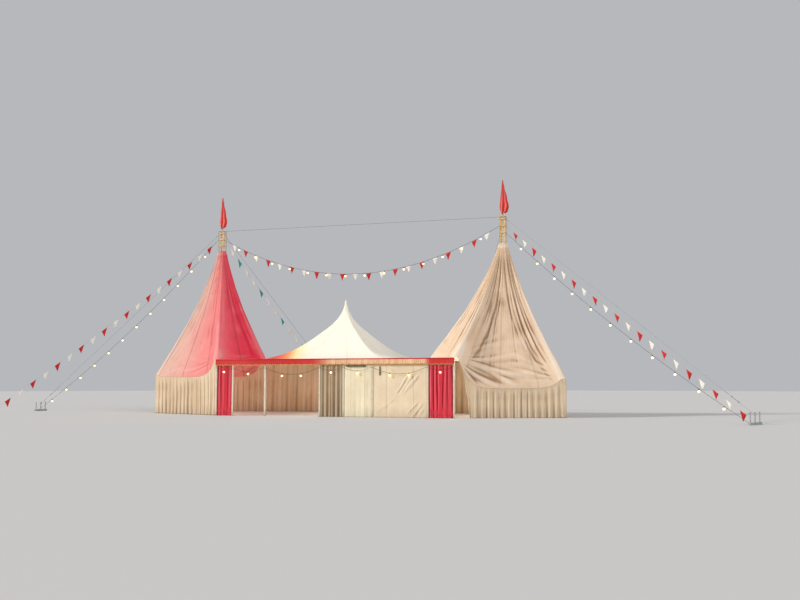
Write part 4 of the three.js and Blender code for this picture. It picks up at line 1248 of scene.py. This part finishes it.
mast = {
    "half": 0.108, "chord": 0.022, "brace": 0.009, "bays": 9, "plate": 0.02, "head": 0.34, "base": 0.6,
    "joints": (3.0, 6.0), "flange": 0.04, "flangeHalf": 0.012, "flangeBolts": 0.032, "boltTurn": 0.785,
    "gusset": (0.11, 0.008, 0.09), "gussetOut": 0.07, "gussetUp": 0.063, "baseBolts": 0.37, "headBolts": 0.205,
    "ringThick": 0.014, "ringHigh": 0.05, "ringBolts": 0.085,
}


def boltHead(bm, place, radius, height, axis=(0, 0, 1)):
    start = Vector(place)
    along = Vector(axis).normalized()
    rod(bm, start - along * 0.004, start + along * 0.003, radius * 1.5, 14)
    rod(bm, start, start + along * height, radius, 6)
    rod(bm, start, start + along * height * 1.7, radius * 0.55, 10)


# The bracing of one bay between two chords: a level bar, and a diagonal crossed by two halves.
def braceBay(bm, corner, other, level, bay):
    up, brace = Vector((0, 0, 1)), mast["brace"]
    height = mast["plate"] + level * bay
    if level:
        rod(bm, corner + up * height, other + up * height, brace * 0.85, 8)
    ends = (height, height + bay) if level % 2 == 0 else (height + bay, height)
    rod(bm, corner + up * ends[0], other + up * ends[1], brace, 8)
    middle = (corner + other) / 2 + up * (height + bay / 2)
    rod(bm, corner + up * ends[1], middle, brace * 0.8, 8)
    rod(bm, other + up * ends[0], middle, brace * 0.8, 8)


# A ring of four plates with an eye and two bolts on each, which the ropes and lines hang from.
def mastRing(bm, height):
    face = tent["collar"]
    for side in range(4):
        turn = Matrix.Rotation(side * math.pi / 2, 4, "Z")
        size = (2 * face, mast["ringThick"], mast["ringHigh"])
        slab(bm, size, turn @ Vector((0, face - mast["ringThick"] / 2, height)), 0.003, turn)
        rod(bm, turn @ Vector((0, face - 0.003, height)), turn @ Vector((0, face + 0.012, height)), 0.009, 10)
        for part in (-mast["ringBolts"], mast["ringBolts"]):
            boltHead(bm, turn @ Vector((part, face, height)), 0.007, 0.006, turn @ Vector((0, 1, 0)))


def makeMast(label, sign):
    bm = bmesh.new()
    half, plate, top = mast["half"], mast["plate"], tent["mastHeight"] - mast["plate"]
    corners = [Vector((x, y, 0)) for x, y in ((-half, -half), (half, -half), (half, half), (-half, half))]
    up = Vector((0, 0, 1))
    slab(bm, (mast["base"], mast["base"], plate), (0, 0, plate / 2), 0.004)
    slab(bm, (mast["head"], mast["head"], plate), (0, 0, top + plate / 2), 0.004)
    for i, corner in enumerate(corners):
        rod(bm, corner + up * plate, corner + up * top, mast["chord"], 18)
        for level in range(mast["bays"]):
            braceBay(bm, corner, corners[(i + 1) % 4], level, (top - plate) / mast["bays"])
        for height in mast["joints"]:
            collar(bm, corner + up * height, up, mast["flangeHalf"], mast["flange"], 20)
            for turn in range(4):
                angle = turn * math.pi / 2 + mast["boltTurn"]
                aside = Vector((math.cos(angle), math.sin(angle), 0)) * mast["flangeBolts"]
                boltHead(bm, corner + aside + up * (height + mast["flangeHalf"]), 0.006, 0.006)
        outward = corner.normalized()
        slab(bm, mast["gusset"], corner + outward * mast["gussetOut"] + up * mast["gussetUp"], 0.001,
             Matrix.Rotation(math.atan2(outward.y, outward.x), 4, "Z"))
        boltHead(bm, outward * mast["baseBolts"] + up * plate, 0.015, 0.013)
        boltHead(bm, outward * mast["headBolts"] + up * (top + plate), 0.01, 0.01)
    for height in (tent["guyCollar"], tent["flagCollar"], tent["lightCollar"]):
        mastRing(bm, height)
    bmesh.ops.translate(bm, verts=bm.verts, vec=(sign * tent["mastX"], 0, 0))
    piece(label + "_lattice_mast", bm, mastPaint, "mast_steel", replaced=(label + "_king_mast",), bend=35,
          turnOut=False)


makeMast("left", -1)
makeMast("right", 1)

# Profiles on the flagstaffs: the turned truck at the top, and the socket on the mast's head.
staffShapes = (
    ((0, 10.7), (0.022, 10.692), (0.028, 10.675), (0.024, 10.655), (0.0215, 10.65), (0.0215, 10.62)),
    ((0.0215, 9.16), (0.03, 9.155), (0.03, 9.02), (0.06, 9.012), (0.06, 9.0)))
fittings = bmesh.new()
turned = [turnedShape(profile, 20) for profile in staffShapes]
for sign in (-1, 1):
    for shape in turned:
        stamp(fittings, shape, Matrix.Translation((sign * tent["mastX"], 0, 0)))
piece("flagstaff_fittings", fittings, zinc, "galvanised_steel", bend=40)
print("stage: masts")


# Steel that keeps its shape from the part, with its fittings

kept = {"left_front_stake": zinc, "ridge_cable": wireRope}
kept.update({name: whitePaint for name in ("front_frame", "back_frame", "centre_frame")})
for label in ("left_", "right_"):
    kept.update({label + "hoist_ring": zinc, label + "side_guy": agedZinc, label + "back_guy": agedZinc})
    for name in ("flagstaff", "outer_front_post", "outer_back_post", "inner_frame"):
        kept[label + name] = whitePaint
for name, material in kept.items():
    for slot in nodes[name].material_slots:
        slot.material = material

bracket = {"leg": 0.05, "thick": 0.005, "out": 0.056, "side": 0.0328, "top": 2.4873, "low": 2.463,
           "boltSide": 0.0355, "reach": 0.06, "past": 0.03, "foot": 0.01, "footBolts": 0.055,
           "bolt": (0.007, 0.006), "anchor": (0.009, 0.008)}


# Angle brackets and bolts where each post meets its rail.
def makeBrackets():
    bm = bmesh.new()
    leg, thick = bracket["leg"], bracket["thick"]
    for face, line in ((-1, tent["frontPosts"]), (1, tent["backPosts"])):
        y = face * tent["front"]
        for x in line:
            for side in (-1, 1):
                boltHead(bm, (x, y + side * bracket["footBolts"], bracket["foot"]), *bracket["anchor"])
                if abs(x + side * bracket["reach"]) > line[-1] + bracket["past"]:
                    continue
                out, near, bolt = [x + side * bracket[part] for part in ("out", "side", "boltSide")]
                slab(bm, (leg, leg, thick), (out, y, bracket["top"]), 0.001)
                slab(bm, (thick, leg, leg), (near, y, bracket["low"]), 0.001)
                boltHead(bm, (bolt, y, bracket["low"]), *bracket["bolt"], (side, 0, 0))
    front, back = Vector((*tent["innerFoot"], 0)), Vector((*tent["innerBack"], 0))
    along = (back - front).normalized()
    for sign in (-1, 1):
        for foot in (front, back):
            for side in (-1, 1):
                spot = foot + Vector((along.y, -along.x, 0)) * side * bracket["footBolts"]
                boltHead(bm, (sign * spot.x, spot.y, bracket["foot"]), *bracket["anchor"])
    piece("frame_brackets", bm, zinc, "galvanised_steel", bend=40, turnOut=False)


makeBrackets()

turnbuckle = {"from": 0.75, "length": 0.34, "rods": 0.02, "clamps": (0.5, 0.58, 0.66), "topClamps": -0.3}


# A turnbuckle and clamped wire ends on each guy rope, near the ground and at the collar.
def makeTurnbuckles():
    bm = bmesh.new()
    reach, height, eye = tent["mastX"] + tent["collar"], tent["guyCollar"], tent["stakeEye"]
    backX, backY = tent["backFoot"]
    guys = [((sign * reach, 0, height), (*foot, eye)) for sign, foot in sideFeet]
    guys += [((sign * tent["mastX"], tent["collar"], height), (sign * backX, backY, eye)) for sign in (-1, 1)]
    for high, low in guys:
        high, low = Vector(high), Vector(low)
        along = (high - low).normalized()
        aside = along.cross(Vector((0, 0, 1))).normalized() * turnbuckle["rods"]
        start = low + along * turnbuckle["from"]
        for offset in (-aside, aside):
            rod(bm, start + offset, start + along * turnbuckle["length"] + offset, 0.007, 8)
        for end in (0, turnbuckle["length"]):
            collar(bm, start + along * end, along, 0.02, 0.03, 12)
            collar(bm, start + along * end, along, 0.05, 0.013, 10)
        for clamp in turnbuckle["clamps"]:
            collar(bm, start + along * clamp, along, 0.012, 0.018, 10)
            collar(bm, high - along * (clamp + turnbuckle["topClamps"]), along, 0.012, 0.018, 10)
    piece("guy_turnbuckles", bm, zinc, "galvanised_steel", bend=40, turnOut=False)


makeTurnbuckles()

stakeHead = {
    "profile": ((0, 0.462), (0.026, 0.46), (0.034, 0.452), (0.035, 0.444), (0.027, 0.434), (0.0245, 0.42)),
    "spread": (-0.36, 0, 0.36),
}


# Battered heads on the ground stakes.
def makeStakeHeads():
    bm = bmesh.new()
    head = turnedShape(stakeHead["profile"], 18)
    backX, backY = tent["backFoot"]
    spots = [Vector((-backX, backY, 0)), Vector((backX, backY, 0))]
    for sign, foot in sideFeet:
        away = (Vector((*foot, 0)) - Vector((sign * tent["mastX"], 0, 0))).normalized()
        spots += [Vector((*foot, 0)) + Vector((-away.y, away.x, 0)) * part for part in stakeHead["spread"]]
    for spot in spots:
        stamp(bm, head, Matrix.Translation(spot))
    piece("stake_heads", bm, zinc, "galvanised_steel", bend=40)


makeStakeHeads()

strap = {"x": 2.31, "y": -3.176, "z": 2.0, "buckle": -3.181, "bars": (1.9, 1.94), "sides": (2.277, 2.343),
         "middle": 1.92}


# A dark webbing strap with its buckle on the tan panel.
def makeWallStrap():
    bm = bmesh.new()
    slab(bm, (0.05, 0.004, 0.4), (strap["x"], strap["y"], strap["z"]), 0.0015)
    for z in strap["bars"]:
        slab(bm, (0.07, 0.01, 0.012), (strap["x"], strap["buckle"], z), 0.002)
    for x in strap["sides"]:
        slab(bm, (0.01, 0.01, 0.05), (x, strap["buckle"], strap["middle"]), 0.002)
    piece("wall_strap", bm, webbing, "brown_canvas", bend=40, turnOut=False)


makeWallStrap()

lightBar = {"from": 0.74, "to": 1.68, "y": -3.202, "z": 2.215, "size": (0.044, 0.04), "strap": -3.178,
            "inset": 0.12}


# A slim dark lamp bar under the valance, over the ivory panel, on straps that run up to the rail.
def makeLightBar():
    bm = bmesh.new()
    start, end, z = lightBar["from"], lightBar["to"], lightBar["z"]
    slab(bm, (end - start, *lightBar["size"]), ((start + end) / 2, lightBar["y"], z), 0.008)
    for x in (start + lightBar["inset"], end - lightBar["inset"]):
        slab(bm, (0.03, 0.003, 0.28), (x, lightBar["strap"], z + 0.135), 0.0008)
        slab(bm, (0.05, 0.008, 0.03), (x, lightBar["strap"] - 0.002, z), 0.001)
    piece("lamp_bar", bm, rubber, "festoon_light", bend=40, turnOut=False)


makeLightBar()
print("stage: fittings")


# Studio

studio = {"floor": 110.0, "under": 0.002, "floorColour": (0.62, 0.61, 0.59), "sky": (0.78, 0.8, 0.84),
          "strength": 0.6}

floor = bmesh.new()
bmesh.ops.create_circle(floor, cap_ends=True, segments=96, radius=studio["floor"])
bmesh.ops.translate(floor, verts=floor.verts, vec=(0, 0, -studio["under"]))
floorMesh = bpy.data.meshes.new("studioFloor")
floor.to_mesh(floorMesh)
floor.free()
floorPiece = bpy.data.objects.new("studioFloor", floorMesh)
scene.collection.objects.link(floorPiece)
pale = Finish("paleFloor", 0.9, specular=0.1)
pale.set("Base Color", studio["floorColour"])
floorMesh.materials.append(pale.material)

world = bpy.data.worlds.new("studioWorld")
world.use_nodes = True
sky = world.node_tree.nodes["Background"]
sky.inputs["Color"].default_value = (*studio["sky"], 1)
sky.inputs["Strength"].default_value = studio["strength"]
scene.world = world

# Two suns outside, and soft lights under the roofs that show what is in the open bays and the doorway.
roomGlow = {"soft": 0.6, "colour": (1.0, 0.95, 0.88)}
roomLights = {"leftRoomLight": ((-6.3, -0.6, 2.3), 110), "rightRoomLight": ((6.0, -0.6, 2.3), 150),
              "middleRoomLight": ((-1.0, 0.4, 2.0), 100)}
suns = {
    "keyLight": {"place": (-48, -29, 29), "energy": 2.4, "angle": 8, "colour": (1.0, 0.96, 0.91)},
    "fillLight": {"place": (40, -30, 25), "energy": 1.1, "angle": 40, "colour": (0.95, 0.97, 1.0)},
}
for name, (place, energy) in roomLights.items():
    light = bpy.data.lights.new(name, "POINT")
    light.energy = energy
    light.shadow_soft_size = roomGlow["soft"]
    light.color = roomGlow["colour"]
    aimed(name, light, place, (0, 0, 0))
for name, sun in suns.items():
    light = bpy.data.lights.new(name, "SUN")
    light.energy = sun["energy"]
    light.angle = math.radians(sun["angle"])
    light.color = sun["colour"]
    aimed(name, light, sun["place"], (0, 0, 2))
scene.view_settings.view_transform = "Standard"
print("stage: studio")
